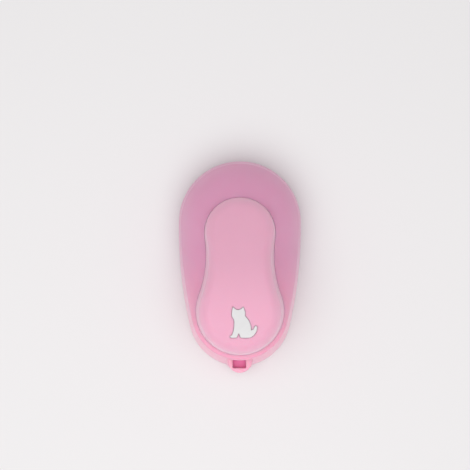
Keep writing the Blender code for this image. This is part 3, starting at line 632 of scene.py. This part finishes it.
def rim_ring(grow):
    """The well's edge: close round the lever, and a little freer where its rear half swings forward."""
    lever = lever_ring()[:, 1]
    freer = smoothstep(lever, 1 * MM, 8 * MM) * (1 - smoothstep(lever, 15 * MM, 21 * MM))
    return ring(reach(two_circles(LEVER, waisted=True)) + WELL_GAP + WELL_FREEDOM * freer + grow)


def lip_and_dome_rows():
    """Rows from the wall's top over its round lip and across the dome to the well.

    The lip is an arc that turns in until its slope is the dome's own. From there points run straight in plan
    to the well. Part of their height rises evenly and the rest early, as one minus the fourth power of the
    share still to go, so the dome swells next to its lip. At the front there is room for the lip only.
    """
    outer, inner = shoulder_ring(), shoulder_ring(LIP_RADIUS)
    well = rim_ring(WELL_LIP)
    top, rim = shoulder_height(outer[:, 1]), rim_height(well[:, 1])
    radius = LIP_RADIUS * (FRONT_LIP + (1 - FRONT_LIP) * smoothstep(outer[:, 1], -30 * MM, -6 * MM))

    def lip_point(turn_in):
        """A row on the lip's arc, after it has turned in by an angle."""
        share = radius * (1 - np.cos(turn_in)) / LIP_RADIUS
        return lift(outer + (inner - outer) * share[:, None], top - radius * (1 - np.sin(turn_in)))

    start = lip_point(FIRST_TURN)
    run = np.linalg.norm(start[:, :2] - well, axis=1)
    first_slope = (4 - 3 * EVEN_RISE) * (rim - start[:, 2]) / run
    turn_in = math.pi / 2 - np.arctan(first_slope)
    rows = [lip_point(turn_in * share) for share in np.linspace(0, 1, 10)]
    end = rows[-1]
    for share in np.linspace(0, 1, 24)[1:]:
        rise = EVEN_RISE * share + (1 - EVEN_RISE) * (1 - (1 - share) ** 4)
        plan = end[:, :2] + (well - end[:, :2]) * share
        rows.append(lift(plan, end[:, 2] + (rim - end[:, 2]) * rise))
    return rows


# %% Housing dome
HOUSING_FOOT = 0.35 * MM
LEVER_GAP = 0.25 * MM
WELL_STRAIGHT, WELL_MIDDLE_Z, WELL_FLOOR_Z = 2.0 * MM, 17 * MM, 13.6 * MM
BEHIND_PLATE_Y = 3 * MM
OPENING_INSET = 0.2 * MM


def housing_rows():
    """Rows from the underside up the leaning wall, over lip and dome, down the well and back under the jaw.

    The wall's lower edge and the well's upper one are quarter circles. The opening below the well takes the
    larger of the die plate's outline and, behind the plate, the lever's.
    """
    rows = []
    for inset, above in quarter_circle(HOUSING_FOOT, 5):
        plan = parting_ring(inset)
        rows.append(lift(plan, underside_height(plan[:, 1]) + above))
    over = lip_and_dome_rows()
    rows += [rows[-1] + (over[0] - rows[-1]) * share for share in (0.33, 0.66)] + over
    for outward, below in quarter_circle(WELL_LIP, 6)[1:]:
        plan = rim_ring(outward)
        rows.append(lift(plan, rim_height(plan[:, 1]) - below))
    well = lever_ring(-LEVER_GAP)
    for z in (rim_height(well[:, 1]) - WELL_STRAIGHT, WELL_MIDDLE_Z, WELL_FLOOR_Z):
        rows.append(lift(well, z))
    behind_plate = reach(lever_ring(OPENING_INSET)) * (well[:, 1] > BEHIND_PLATE_Y)
    opening = ring(np.maximum(reach(die_ring(DIE_GAP)), behind_plate))
    return rows + [lift(opening, WELL_FLOOR_Z), lift(opening, underside_height(opening[:, 1]))]


housing_dome = new_piece("housing_dome", rows_to_mesh(housing_rows(), loop=True))
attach(housing_dome, "housing")
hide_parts("upper_housing")

# %% [markdown]
# ## Lever
# The thumb lever is a hollow cap: a skirt that leans in a little, a broad round edge, and an arched top that
# is highest over the cutter. A Solidify modifier could give it its wall, but the edge is much tighter inside
# than outside. So inside and outside are one stack of rows, from the pole under the roof, down the inner
# wall, round the skirt's edge and up to the pole on top.

# %% Lever top and skirt
LEVER_PEAK_Z = 33.0 * MM
LEVER_PEAK_Y = -17.0 * MM
ARCH_ALONG, ARCH_ACROSS = 0.0040, 0.0035
LEVER_DRAFT = 1.1 * MM
SKIRT_REAR_Z_MM, SKIRT_RISE_MM = 15.4, 4.6


def lever_top(plan):
    """The arched top: its height falls with the square of the distance from the peak along and across."""
    along, across = (plan[:, 1] - LEVER_PEAK_Y) / MM, plan[:, 0] / MM
    return LEVER_PEAK_Z - (ARCH_ALONG * along**2 + ARCH_ACROSS * across**2) * MM


def skirt_bottom(y):
    """The lower edge, a straight line that rises from the rear to the front."""
    rear, front = LEVER[0] + LEVER[1], LEVER[2] - LEVER[3]
    return (SKIRT_REAR_Z_MM + SKIRT_RISE_MM * (rear - y) / (rear - front)) * MM


def drafted_ring(inset):
    """The outline drawn in by the draft, which grows from nothing at the rear to full at the waist."""
    wide = lever_ring(inset)
    share = smoothstep(-wide[:, 1], -21 * MM, -4 * MM)[:, None]
    return wide + (lever_ring(inset + LEVER_DRAFT) - wide) * share


drawn_in = np.linalg.norm(lever_ring() - drafted_ring(0), axis=1)
print("draft in mm, least and most:", (drawn_in.min() / MM).round(2), (drawn_in.max() / MM).round(2))

# %% Lever rows
LEVER_CORNER = 0.5 * MM
CORNER_DEGREES, CORNER_DEGREES_MORE = 20, 18
RIM_BELOW_EDGE = 0.5 * MM
POLE_SHARE = 0.04


def cap_rows(inset, drop, edge, foot, steps):
    """Rows from a skirt's foot up its wall, round its edge and over the arch towards the pole.

    The wall is upright below the housing's rim and leans in above it. The edge is two arcs that share a
    tangent: a tight corner first, for a larger turn at the rear than at the front, and then a wide arc.
    """
    bottom, shoulder, inner = lever_ring(inset), drafted_ring(inset), drafted_ring(inset + edge)
    rearward = smoothstep(shoulder[:, 1], -20 * MM, 10 * MM)
    corner = np.radians(CORNER_DEGREES + CORNER_DEGREES_MORE * rearward)

    def edge_row(turn):
        """A row on the edge after a turn: the corner's arc up to its own angle, then the wide arc."""
        tight, wide = np.minimum(turn, corner), np.maximum(turn, corner)
        drawn_in = LEVER_CORNER * (1 - np.cos(tight)) + edge * (np.cos(corner) - np.cos(wide))
        below = edge * (1 - np.sin(wide)) + LEVER_CORNER * (np.sin(corner) - np.sin(tight))
        plan = shoulder + (inner - shoulder) * (drawn_in / edge)[:, None]
        return lift(plan, lever_top(plan) - drop - below)

    turns = [corner * share for share in (0, 0.33, 0.67)]
    turns += [corner + (math.pi / 2 - corner) * share for share in np.linspace(0, 1, steps)]
    turn_z = edge_row(turns[0])[:, 2]
    low = lift(bottom, foot + skirt_bottom(bottom[:, 1]))
    rim = lift(bottom, np.minimum(rim_height(bottom[:, 1]), turn_z - RIM_BELOW_EDGE))
    high = lift(shoulder, turn_z)
    rows = [low, low + (rim - low) * 0.5]
    rows += [rim + (high - rim) * share for share in np.linspace(0, 1, 5)[:-1]]
    rows += [edge_row(turn) for turn in turns]
    last = rows[-1][:, :2]
    for share in np.linspace(1, POLE_SHARE, 18)[1:]:
        plan = PLAN_CENTRE + (last - PLAN_CENTRE) * share
        rows.append(lift(plan, lever_top(plan) - drop))
    return rows


def skirt_edge_rows(radius):
    """The skirt's lower edge, rounded by a quarter circle where it meets the outer wall."""
    rows = []
    for inset, above in quarter_circle(radius, 5)[:-1]:
        plan = lever_ring(inset)
        rows.append(lift(plan, skirt_bottom(plan[:, 1]) + above))
    return rows


# %% Lever cap
LEVER_WALL = 2.0 * MM
LEVER_EDGE, INNER_EDGE = 3.8 * MM, 1.2 * MM
SKIRT_EDGE = 0.4 * MM
inner_rows = cap_rows(LEVER_WALL, LEVER_WALL, INNER_EDGE, foot=0, steps=7)[::-1]
outer_rows = cap_rows(0, 0, LEVER_EDGE, foot=SKIRT_EDGE, steps=14)
lever_rows = inner_rows + skirt_edge_rows(SKIRT_EDGE) + outer_rows
lever_form = new_piece("lever_form", rows_to_mesh(lever_rows, low_pole=True, high_pole=True))
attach(lever_form, "lever")
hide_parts("lever_cap")

# %% [markdown]
# ## Cat inlay
# A white sitting cat on the lever shows what the punch cuts. It is a thin moulding pressed into the top. It
# could be a drawn curve that is given depth, but worked out as points, the same outline moved outwards also
# cuts its seat. The closed curve runs smooth through most of a few given points and turns sharply at
# the ears, the chest and the tail's root. Its upper edge is rounded by drawing the outline in while it rises.

# %% Points on the cat's outline, in mm, with 1 where it is smooth
CAT_POINTS = (
    (-3.55, 5.20, 0),
    (-2.55, 4.40, 1),
    (-1.75, 4.20, 1),
    (-0.95, 4.40, 1),
    (0.05, 5.20, 0),
    (0.62, 3.30, 1),
    (0.62, 2.20, 1),
    (1.75, 0.75, 1),
    (2.45, -1.00, 1),
    (2.65, -2.70, 0),
    (3.40, -2.30, 1),
    (3.95, -1.25, 1),
    (4.62, -1.55, 1),
    (4.40, -3.10, 1),
    (3.25, -4.60, 1),
    (1.90, -5.20, 1),
    (-0.90, -5.20, 0),
    (-1.55, -3.75, 1),
    (-2.15, -5.05, 1),
    (-2.75, -5.20, 1),
    (-4.05, -5.20, 1),
    (-4.45, -4.75, 1),
    (-3.75, -4.10, 1),
    (-3.25, -2.60, 1),
    (-3.05, -0.60, 1),
    (-3.15, 0.75, 1),
    (-3.85, 2.05, 1),
    (-3.85, 3.30, 1),
)
print("points on the cat:", len(CAT_POINTS))

# %% Cat outline
CAT_STEPS = 8
STILL_CLEAR = 0.97


def cat_outline(grow=0.0):
    """Cubic pieces between the points, moved out by grow.

    A piece leaves and arrives with the slope of the neighbours' chord where its point is smooth, and with
    its own chord's where it is sharp. Moved points that come too near to the curve again are left out.
    """
    places, smooth = np.array(CAT_POINTS)[:, :2] * MM, np.array(CAT_POINTS)[:, 2:]
    after = np.roll(places, -1, axis=0)
    slope, chord = (after - np.roll(places, 1, axis=0)) / 2, after - places
    leave = np.where(smooth, slope, chord)
    arrive = np.where(np.roll(smooth, -1, axis=0), np.roll(slope, -1, axis=0), chord)
    t = (np.arange(CAT_STEPS) / CAT_STEPS)[None, :, None]
    start, end = 2 * t**3 - 3 * t**2 + 1, 3 * t**2 - 2 * t**3
    curve = start * places[:, None] + end * after[:, None]
    curve = curve + (t**3 - 2 * t**2 + t) * leave[:, None] + (t**3 - t**2) * arrive[:, None]
    curve = curve.reshape(-1, 2)[::-1]
    edge = np.roll(curve, -1, axis=0) - np.roll(curve, 1, axis=0)
    outward = np.column_stack((edge[:, 1], -edge[:, 0]))
    moved = curve + grow * outward / np.linalg.norm(outward, axis=1)[:, None]
    nearest = np.linalg.norm(moved[:, None] - curve[None], axis=2).min(axis=1)
    return (moved[nearest > STILL_CLEAR * grow] if grow > 0 else moved) + MOTIF_CENTRE


print("cat's width and height in mm:", (np.ptp(cat_outline(), axis=0) / MM).round(2).tolist())

# %% Cat inlay and its seat
CAT_TOP_Z = LEVER_PEAK_Z + 0.02 * MM
CAT_LOW_Z = LEVER_PEAK_Z - 0.6 * MM
CAT_EDGE = 0.10 * MM
SEAT_GROOVE = 0.20 * MM
SEAT_LOW_Z, SEAT_HIGH_Z = CAT_TOP_Z - 0.70 * MM, CAT_TOP_Z + 2 * MM
below, drawn_in = quarter_circle(CAT_EDGE, 4).T
cat_outlines = [cat_outline(-inset) for inset in (0, *drawn_in)]
cat_inlay = new_piece("cat_inlay", slab(cat_outlines, [CAT_LOW_Z, *(CAT_TOP_Z - below)]))
cat_seat = cat_outline(SEAT_GROOVE)
cut_away(lever_form, slab([cat_seat, cat_seat], [SEAT_LOW_Z, SEAT_HIGH_Z]))
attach(cat_inlay, "lever")
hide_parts("shape_label")

# %% [markdown]
# ## Screws
# Four self-tapping screws hold cover, base and housing together, and their heads show in the cover's seats.
# A screw is a profile turned round its axis: a domed pan head below, the shank above. A Screw modifier could
# wind the thread, but a saw-tooth added to the shank's radius along a spiral keeps it one closed grid. The
# cross recess is cut with two crossed wedges.

# %% Screw rows, in mm
SCREW_ROUND = 40
SCREW_HEAD = ((1.0, 0.66), (1.5, 0.70), (1.9, 0.78), (2.15, 0.90), (2.3, 1.08), (2.3, 1.35), (1.0, 1.36))
SCREW_TIP = ((0.6, 13.5), (0.25, 14.0))
SHANK_RADIUS = 1.0
THREAD_LOW, THREAD_HIGH, THREAD_STEP = 2.4, 12.8, 0.12
THREAD_DEPTH, THREAD_PITCH = 0.1, 0.9


def screw_rows(centre):
    """Rows round the axis: each height has a radius, and on the shank one saw-tooth per pitch is added.

    The saw-tooth is how far height over pitch, less the turn's share, lies from the middle of its whole step.
    """
    spin = 2 * math.pi * np.arange(SCREW_ROUND) / SCREW_ROUND
    shank = tuple((SHANK_RADIUS, z) for z in np.arange(THREAD_LOW, THREAD_HIGH, THREAD_STEP))
    rows = []
    for radius, z in SCREW_HEAD + shank + SCREW_TIP:
        tooth = np.abs(2 * ((z / THREAD_PITCH - spin / (2 * math.pi)) % 1) - 1)
        across = (radius + THREAD_DEPTH * (THREAD_LOW < z < THREAD_HIGH) * tooth) * MM
        rows.append(lift(centre + np.column_stack((across * np.cos(spin), across * np.sin(spin))), z * MM))
    return rows


# %% Cover screws
SCREW_HEAD_Z = 0.65 * MM
CROSS_LOW_Z, CROSS_HIGH_Z = 0.1 * MM, SCREW_HEAD_Z + 1.0 * MM
CROSS_CORNER = 0.12 * MM
CROSS_MOUTH, CROSS_END = (1.5, 0.40), (0.7, 0.26)


def cross_wedge(centre, turned):
    """One bar of the cross recess, straight up to the head's face and narrowing as it goes in."""
    bars = []
    for length, width in (CROSS_MOUTH, CROSS_MOUTH, CROSS_END):
        half = np.array((width, length) if turned else (length, width)) * MM
        bars.append(rounded_box(centre, half, CROSS_CORNER))
    return slab(bars, [CROSS_LOW_Z, SCREW_HEAD_Z, CROSS_HIGH_Z])


cover_screws = []
for where, place in SCREW_PLACES.items():
    screw = new_piece(f"cover_screw_{where}", rows_to_mesh(screw_rows(place), low_pole=True, high_pole=True))
    for turned in (False, True):
        cut_away(screw, cross_wedge(np.array(place), turned))
    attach(screw, "housing")
    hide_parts(f"housing_screw_{where}")
    cover_screws.append(screw)

# %% [markdown]
# ## Return springs
# Two springs on the guide posts push the cutter up again. A spring could be a curve with a round bevel. Here
# it is a circle carried along a helix, which closes its two ends, and the helix's first and last turns lie
# closer, as a wound spring's do. It is pressed together as the cutter goes down, and each spring has a mesh
# of its own.

# %% Springs
POST_X = 8.6 * MM
SPRING_RADIUS = 1.95 * MM
WIRE_RADIUS = 0.3 * MM
SPRING_TURNS, STEPS_PER_TURN, WIRE_ROUND = 6, 30, 12
END_CLOSING = 0.30
SPRING_LOW_Z, SPRING_HIGH_Z = 14.35 * MM, 23.85 * MM


def spring_rows(centre_x):
    """Circles of wire along the helix, each in the plane of the radius and of what is square to the path.

    The height eases in and out: a sine of one whole turn is taken from the even rise.
    """
    share = np.linspace(0, 1, SPRING_TURNS * STEPS_PER_TURN + 1)
    angle = 2 * math.pi * SPRING_TURNS * share
    eased = share - END_CLOSING * np.sin(2 * math.pi * share) / (2 * math.pi)
    low, high = SPRING_LOW_Z + WIRE_RADIUS, SPRING_HIGH_Z - WIRE_RADIUS
    outward = np.column_stack((np.cos(angle), np.sin(angle), np.zeros_like(angle)))
    path = np.array((centre_x, MOTIF_CENTRE[1], 0)) + SPRING_RADIUS * outward
    path[:, 2] = low + (high - low) * eased
    along = np.gradient(path, axis=0)
    square = np.cross(along, outward)
    square /= np.linalg.norm(square, axis=1)[:, None]
    spin = 2 * math.pi * np.arange(WIRE_ROUND) / WIRE_ROUND
    wire = np.cos(spin)[None, :, None] * outward[:, None] + np.sin(spin)[None, :, None] * square[:, None]
    return path[:, None] + WIRE_RADIUS * wire


springs = []
for side, centre_x in (("left", -POST_X), ("right", POST_X)):
    coil = rows_to_mesh(spring_rows(centre_x), low_pole=True, high_pole=True)
    spring = new_piece(f"coil_spring_{side}", coil)
    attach(spring, "housing")
    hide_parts(f"return_spring_{side}")
    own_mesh(spring)
    springs.append(spring)

# %% [markdown]
# ## Floor and light
# The floor is a plain pale sheet. The photograph's shadows are faint and its front edges a little brighter,
# so one very large round lamp hangs nearly overhead, leaning towards the front and a little to the left. A
# small lamp would give harder shadows. An even white world fills them, so that a colour renders about as it
# is written.

# %% Floor
FLOOR_HALF = 0.6
FLOOR_COLOUR = (0.755, 0.745, 0.75, 1)


def new_material(name):
    """An empty node material, with its node tree and its Principled shader."""
    material = bpy.data.materials.new(name)
    material.use_nodes = True
    return material, material.node_tree, material.node_tree.nodes["Principled BSDF"]


def set_values(node, values):
    """Puts constants on a node's inputs, by name or by number."""
    for socket, value in values.items():
        node.inputs[socket].default_value = value


floor_mesh = bpy.data.meshes.new("floor")
floor_corners = np.array(((-1, -1, 0), (1, -1, 0), (1, 1, 0), (-1, 1, 0))) * FLOOR_HALF
floor_mesh.from_pydata(floor_corners, [], [(0, 1, 2, 3)])
floor = bpy.data.objects.new("floor", floor_mesh)
scene.collection.objects.link(floor)
paper, _, paper_shader = new_material("pale_floor")
set_values(paper_shader, {"Base Color": FLOOR_COLOUR, "Roughness": 0.9})
floor_mesh.materials.append(paper)
print("floor in metres:", 2 * FLOOR_HALF)

# %% Lamp and world
LAMP_PLACE = np.array((-35, -115, 550)) * MM
LAMP_WIDTH = 800 * MM
LAMP_WATTS = 2.95
WORLD_COLOUR = (1, 0.985, 0.985, 1)
WORLD_STRENGTH = 0.53

lamp_data = bpy.data.lights.new("soft_lamp", "AREA")
lamp_data.shape = "DISK"
lamp_data.size = LAMP_WIDTH
lamp_data.energy = LAMP_WATTS
lamp = bpy.data.objects.new("soft_lamp", lamp_data)
lamp.location = LAMP_PLACE
lean = math.atan2(math.hypot(*LAMP_PLACE[:2]), LAMP_PLACE[2])
lamp.rotation_euler = (lean, 0, math.atan2(LAMP_PLACE[0], -LAMP_PLACE[1]))
scene.collection.objects.link(lamp)

world = bpy.data.worlds.new("soft_room")
world.use_nodes = True
set_values(world.node_tree.nodes["Background"], {"Color": WORLD_COLOUR, "Strength": WORLD_STRENGTH})
scene.world = world
print("lamp leans by degrees:", round(math.degrees(lean), 1))

# %% [markdown]
# ## Moulded pink plastic
# Lever, housing and base are moulded in tinted plastic with a fine satin grain, and the cover in a deeper
# pink, which is partly painted shade, darkened to stand for the shade on its catch deep in the lug's window.
# A single colour would look like paint. A node group makes what every moulded piece shares: a faint flow of
# lighter and darker pigment, a satin roughness that varies a little, and the grain's height. Each material
# then places the group with its own colour.


# %% Helpers for node trees
def put_node(tree, kind, values=None, **settings):
    """A new node of a kind with its settings, and with constants on its inputs, by name or by number."""
    node = tree.nodes.new(kind)
    for name, setting in settings.items():
        setattr(node, name, setting)
    set_values(node, values or {})
    return node


def link(tree, *joins):
    """Joins one node's output to another node's input, each by name or by number."""
    for source, output, target, socket in joins:
        tree.links.new(source.outputs[output], target.inputs[socket])


def new_group(name, inputs, outputs):
    """A node group with named inputs and outputs, and the two nodes inside that stand for them."""
    group = bpy.data.node_groups.new(name, "ShaderNodeTree")
    for way, sockets in (("INPUT", inputs), ("OUTPUT", outputs)):
        for title, kind in sockets.items():
            group.interface.new_socket(title, in_out=way, socket_type=f"NodeSocket{kind}")
    return group, put_node(group, "NodeGroupInput"), put_node(group, "NodeGroupOutput")


def give_finish(material, *pieces):
    """Makes a material the only one on each piece."""
    for piece in pieces:
        piece.data.materials.clear()
        piece.data.materials.append(material)
        print(material.name, "on", piece.name)


# %% Moulded plastic group
FLOW_SCALE, GRAIN_SCALE = 55, 5200
SATIN_CHANGE = 0.10


def moulded_group():
    """Colour with pigment flow, roughness with satin variation and a grain height, on Object coordinates.

    A broad noise less its mean scales the colour's brightness by one plus Flow times the noise, and a tenth
    of it is added to the roughness. A fine noise is the grain's height.
    """
    inputs = {"Color": "Color", "Flow": "Float", "Satin": "Float"}
    outputs = {"Color": "Color", "Roughness": "Float", "Grain": "Float"}
    group, entry, leave = new_group("moulded_plastic", inputs, outputs)
    place = put_node(group, "ShaderNodeTexCoord")
    flow = put_node(group, "ShaderNodeTexNoise", {"Scale": FLOW_SCALE, "Detail": 3, "Distortion": 1.2})
    centred = put_node(group, "ShaderNodeMath", {1: 0.5}, operation="SUBTRACT")
    amount = put_node(group, "ShaderNodeMath", {2: 1.0}, operation="MULTIPLY_ADD")
    shift = put_node(group, "ShaderNodeHueSaturation")
    grain = put_node(group, "ShaderNodeTexNoise", {"Scale": GRAIN_SCALE, "Detail": 2})
    satin = put_node(group, "ShaderNodeMath", {1: SATIN_CHANGE}, operation="MULTIPLY_ADD")
    link(
        group,
        (place, "Object", flow, "Vector"),
        (place, "Object", grain, "Vector"),
        (flow, "Fac", centred, 0),
        (centred, 0, amount, 0),
        (entry, "Flow", amount, 1),
        (amount, 0, shift, "Value"),
        (entry, "Color", shift, "Color"),
        (centred, 0, satin, 0),
        (entry, "Satin", satin, 2),
        (shift, "Color", leave, "Color"),
        (satin, 0, leave, "Roughness"),
        (grain, "Fac", leave, "Grain"),
    )
    return group


MOULDED = moulded_group()
print(MOULDED.name, len(MOULDED.nodes), "nodes")

# %% [markdown]
# ## Pinks and white
# The punch is a mauve pink at the rear and a clearer, lighter pink at the front, where light falls from the
# front and comes through the thinner mouldings. The photograph shows a mauve pink at the rear and a clearer
# one at the front, perhaps because the mouldings are thinner there and let light in. Lamps of two colours
# could do that, but then it would change with the light. So that light is painted: lever, housing and base
# blend a darker rear pink slowly along the length into a lighter front pink. Light spreads a little under
# the surface, and a weak sheen lightens the slopes, as on fine-grained plastic. The cat is plain white
# without either.

# %% Plastic materials
# The lit-front pinks are painted light: lighter than the rear ones for light on the front and through it.
PINK_LEVER = (0.650, 0.286, 0.422, 1)
PINK_LEVER_LIT_FRONT = (0.735, 0.328, 0.478, 1)
PINK_BODY = (0.652, 0.292, 0.455, 1)
PINK_BODY_LIT_FRONT = (0.815, 0.375, 0.515, 1)
PINK_BASE_LIT_FRONT = (0.870, 0.428, 0.558, 1)
# The cover's deep pink is partly painted shade, darker for the shade on its catch in the lug's window.
PINK_COVER_WITH_WINDOW_SHADE = (0.76, 0.150, 0.370, 1)
WHITE_CAT = (0.64, 0.635, 0.64, 1)
SHEEN_TINT = (1.0, 0.82, 0.90, 1)
GLOW_RADIUS, GLOW_SCALE = (1.0, 0.5, 0.65), 1.2 * MM
PLASTIC_IOR = 1.49


def moulded_material(
    name, colour, flow=0.05, satin=0.46, grain=0.012 * MM, glow=0.8, sheen=0.4, spread=0.6
):
    """The shared plastic with one piece's colour, pigment flow, satin, grain depth, glow and sheen."""
    material, tree, shader = new_material(name)
    own_values = {"Color": colour, "Flow": flow, "Satin": satin}
    moulded = put_node(tree, "ShaderNodeGroup", own_values, node_tree=MOULDED)
    bump = put_node(tree, "ShaderNodeBump", {"Distance": grain})
    link(
        tree,
        (moulded, "Grain", bump, "Height"),
        (bump, "Normal", shader, "Normal"),
        (moulded, "Color", shader, "Base Color"),
        (moulded, "Roughness", shader, "Roughness"),
    )
    set_values(shader, {"Subsurface Weight": glow, "Subsurface Radius": GLOW_RADIUS})
    set_values(shader, {"Subsurface Scale": GLOW_SCALE, "IOR": PLASTIC_IOR})
    set_values(shader, {"Sheen Weight": sheen, "Sheen Roughness": spread, "Sheen Tint": SHEEN_TINT})
    return material


def painted_front_light(material, rear_colour, lit_front_colour, start_y, end_y):
    """Painted light: an S-curve along the length blends the rear colour into a lighter front colour."""
    tree = material.node_tree
    place, split = put_node(tree, "ShaderNodeTexCoord"), put_node(tree, "ShaderNodeSeparateXYZ")
    ends = {"From Min": start_y, "From Max": end_y}
    share = put_node(tree, "ShaderNodeMapRange", ends, interpolation_type="SMOOTHSTEP")
    mix = put_node(tree, "ShaderNodeMix", {"A": rear_colour, "B": lit_front_colour}, data_type="RGBA")
    moulded = next(node for node in tree.nodes if node.type == "GROUP")
    link(
        tree,
        (place, "Object", split, "Vector"),
        (split, "Y", share, "Value"),
        (share, "Result", mix, "Factor"),
        (mix, "Result", moulded, "Color"),
    )


# %% Pieces in plastic
lever_plastic = moulded_material("lever_plastic", PINK_LEVER, grain=0.010 * MM, sheen=0.6, spread=0.85)
body_plastic = moulded_material("body_plastic", PINK_BODY)
base_plastic = moulded_material("base_plastic", PINK_BASE_LIT_FRONT)
cover_plastic = moulded_material("cover_plastic", PINK_COVER_WITH_WINDOW_SHADE, satin=0.42, glow=0.3)
white_plastic = moulded_material(
    "white_plastic", WHITE_CAT, flow=0.03, satin=0.5, grain=0.008 * MM, glow=0, sheen=0
)
# Painted light: lever, housing and base turn lighter towards the front.
painted_front_light(lever_plastic, PINK_LEVER, PINK_LEVER_LIT_FRONT, 4 * MM, -20 * MM)
painted_front_light(body_plastic, PINK_BODY, PINK_BODY_LIT_FRONT, 8 * MM, -24 * MM)
painted_front_light(base_plastic, PINK_BODY, PINK_BASE_LIT_FRONT, 8 * MM, -24 * MM)
give_finish(lever_plastic, lever_form)
give_finish(body_plastic, housing_dome)
give_finish(base_plastic, base_body)
give_finish(cover_plastic, bottom_plate)
give_finish(white_plastic, cat_inlay)

# %% [markdown]
# ## Metals
# Inside are ground steel plates, a cast zinc head, plated screws and drawn wire. Each could have nodes of its
# own, but their marks differ only in stretch and depth. So one group gives what they share: a noise,
# stretched by each material's own mapping into grinding lines, a cast skin or drawing marks, that shifts
# colour, polish and height a little. The solids that stay as they are get these finishes too.

# %% Metal group
MARK_DARK, MARK_BRIGHT = 0.72, 1.18
POLISH_CHANGE = 0.2


def metal_group():
    """A noise on the given coordinates that shades the colour, varies the polish and gives a height.

    The noise is spread between the dark and the bright factor for the colour, and a fifth of it is added to
    the roughness.
    """
    inputs = {"Vector": "Vector", "Color": "Color", "Polish": "Float"}
    outputs = {"Color": "Color", "Roughness": "Float", "Height": "Float"}
    group, entry, leave = new_group("worked_metal", inputs, outputs)
    marks = put_node(group, "ShaderNodeTexNoise", {"Scale": 1, "Detail": 4})
    shade_of = put_node(group, "ShaderNodeMapRange", {"To Min": MARK_DARK, "To Max": MARK_BRIGHT})
    tone = put_node(group, "ShaderNodeHueSaturation")
    rough = put_node(group, "ShaderNodeMath", {1: POLISH_CHANGE}, operation="MULTIPLY_ADD")
    link(
        group,
        (entry, "Vector", marks, "Vector"),
        (marks, "Fac", shade_of, "Value"),
        (shade_of, "Result", tone, "Value"),
        (entry, "Color", tone, "Color"),
        (marks, "Fac", rough, 0),
        (entry, "Polish", rough, 2),
        (tone, "Color", leave, "Color"),
        (rough, 0, leave, "Roughness"),
        (marks, "Fac", leave, "Height"),
    )
    return group


METAL = metal_group()
print(METAL.name, len(METAL.nodes), "nodes")


# %% Metal materials
def metal_material(name, colour, polish, marks_per_metre, depth):
    """The shared metal with one piece's colour, polish, direction of marks and depth of marks."""
    material, tree, shader = new_material(name)
    place = put_node(tree, "ShaderNodeTexCoord")
    mapping = put_node(tree, "ShaderNodeMapping", {"Scale": marks_per_metre})
    metal = put_node(tree, "ShaderNodeGroup", {"Color": colour, "Polish": polish}, node_tree=METAL)
    bump = put_node(tree, "ShaderNodeBump", {"Distance": depth})
    link(
        tree,
        (place, "Object", mapping, "Vector"),
        (mapping, "Vector", metal, "Vector"),
        (metal, "Color", shader, "Base Color"),
        (metal, "Roughness", shader, "Roughness"),
        (metal, "Height", bump, "Height"),
        (bump, "Normal", shader, "Normal"),
    )
    set_values(shader, {"Metallic": 1.0})
    return material


# %% Pieces in metal
ground_steel = metal_material("ground_steel", (0.58, 0.58, 0.60, 1), 0.22, (300, 6000, 6000), 0.004 * MM)
cast_zinc = metal_material("cast_zinc", (0.45, 0.46, 0.48, 1), 0.40, (1500, 1500, 1500), 0.02 * MM)
plated_steel = metal_material("plated_steel", (0.62, 0.61, 0.58, 1), 0.18, (900, 900, 5000), 0.004 * MM)
drawn_wire = metal_material("drawn_wire", (0.50, 0.49, 0.48, 1), 0.22, (3000, 3000, 900), 0.004 * MM)
BARE_NODES = {
    ground_steel: (
        "die_plate",
        "guide_plate",
        "slot_spacer",
        "pivot_pin",
        "guide_post_left",
        "guide_post_right",
        "press_pad",
        "punch_cutter",
    ),
    cast_zinc: ("punch_head",),
    plated_steel: ("die_screw_left", "die_screw_right", "punch_screw_left", "punch_screw_right"),
}
for material, names in BARE_NODES.items():
    for name in names:
        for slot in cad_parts[name].material_slots:
            slot.material = material
    print(material.name, "on", ", ".join(names))
give_finish(plated_steel, *cover_screws)
give_finish(drawn_wire, *springs)
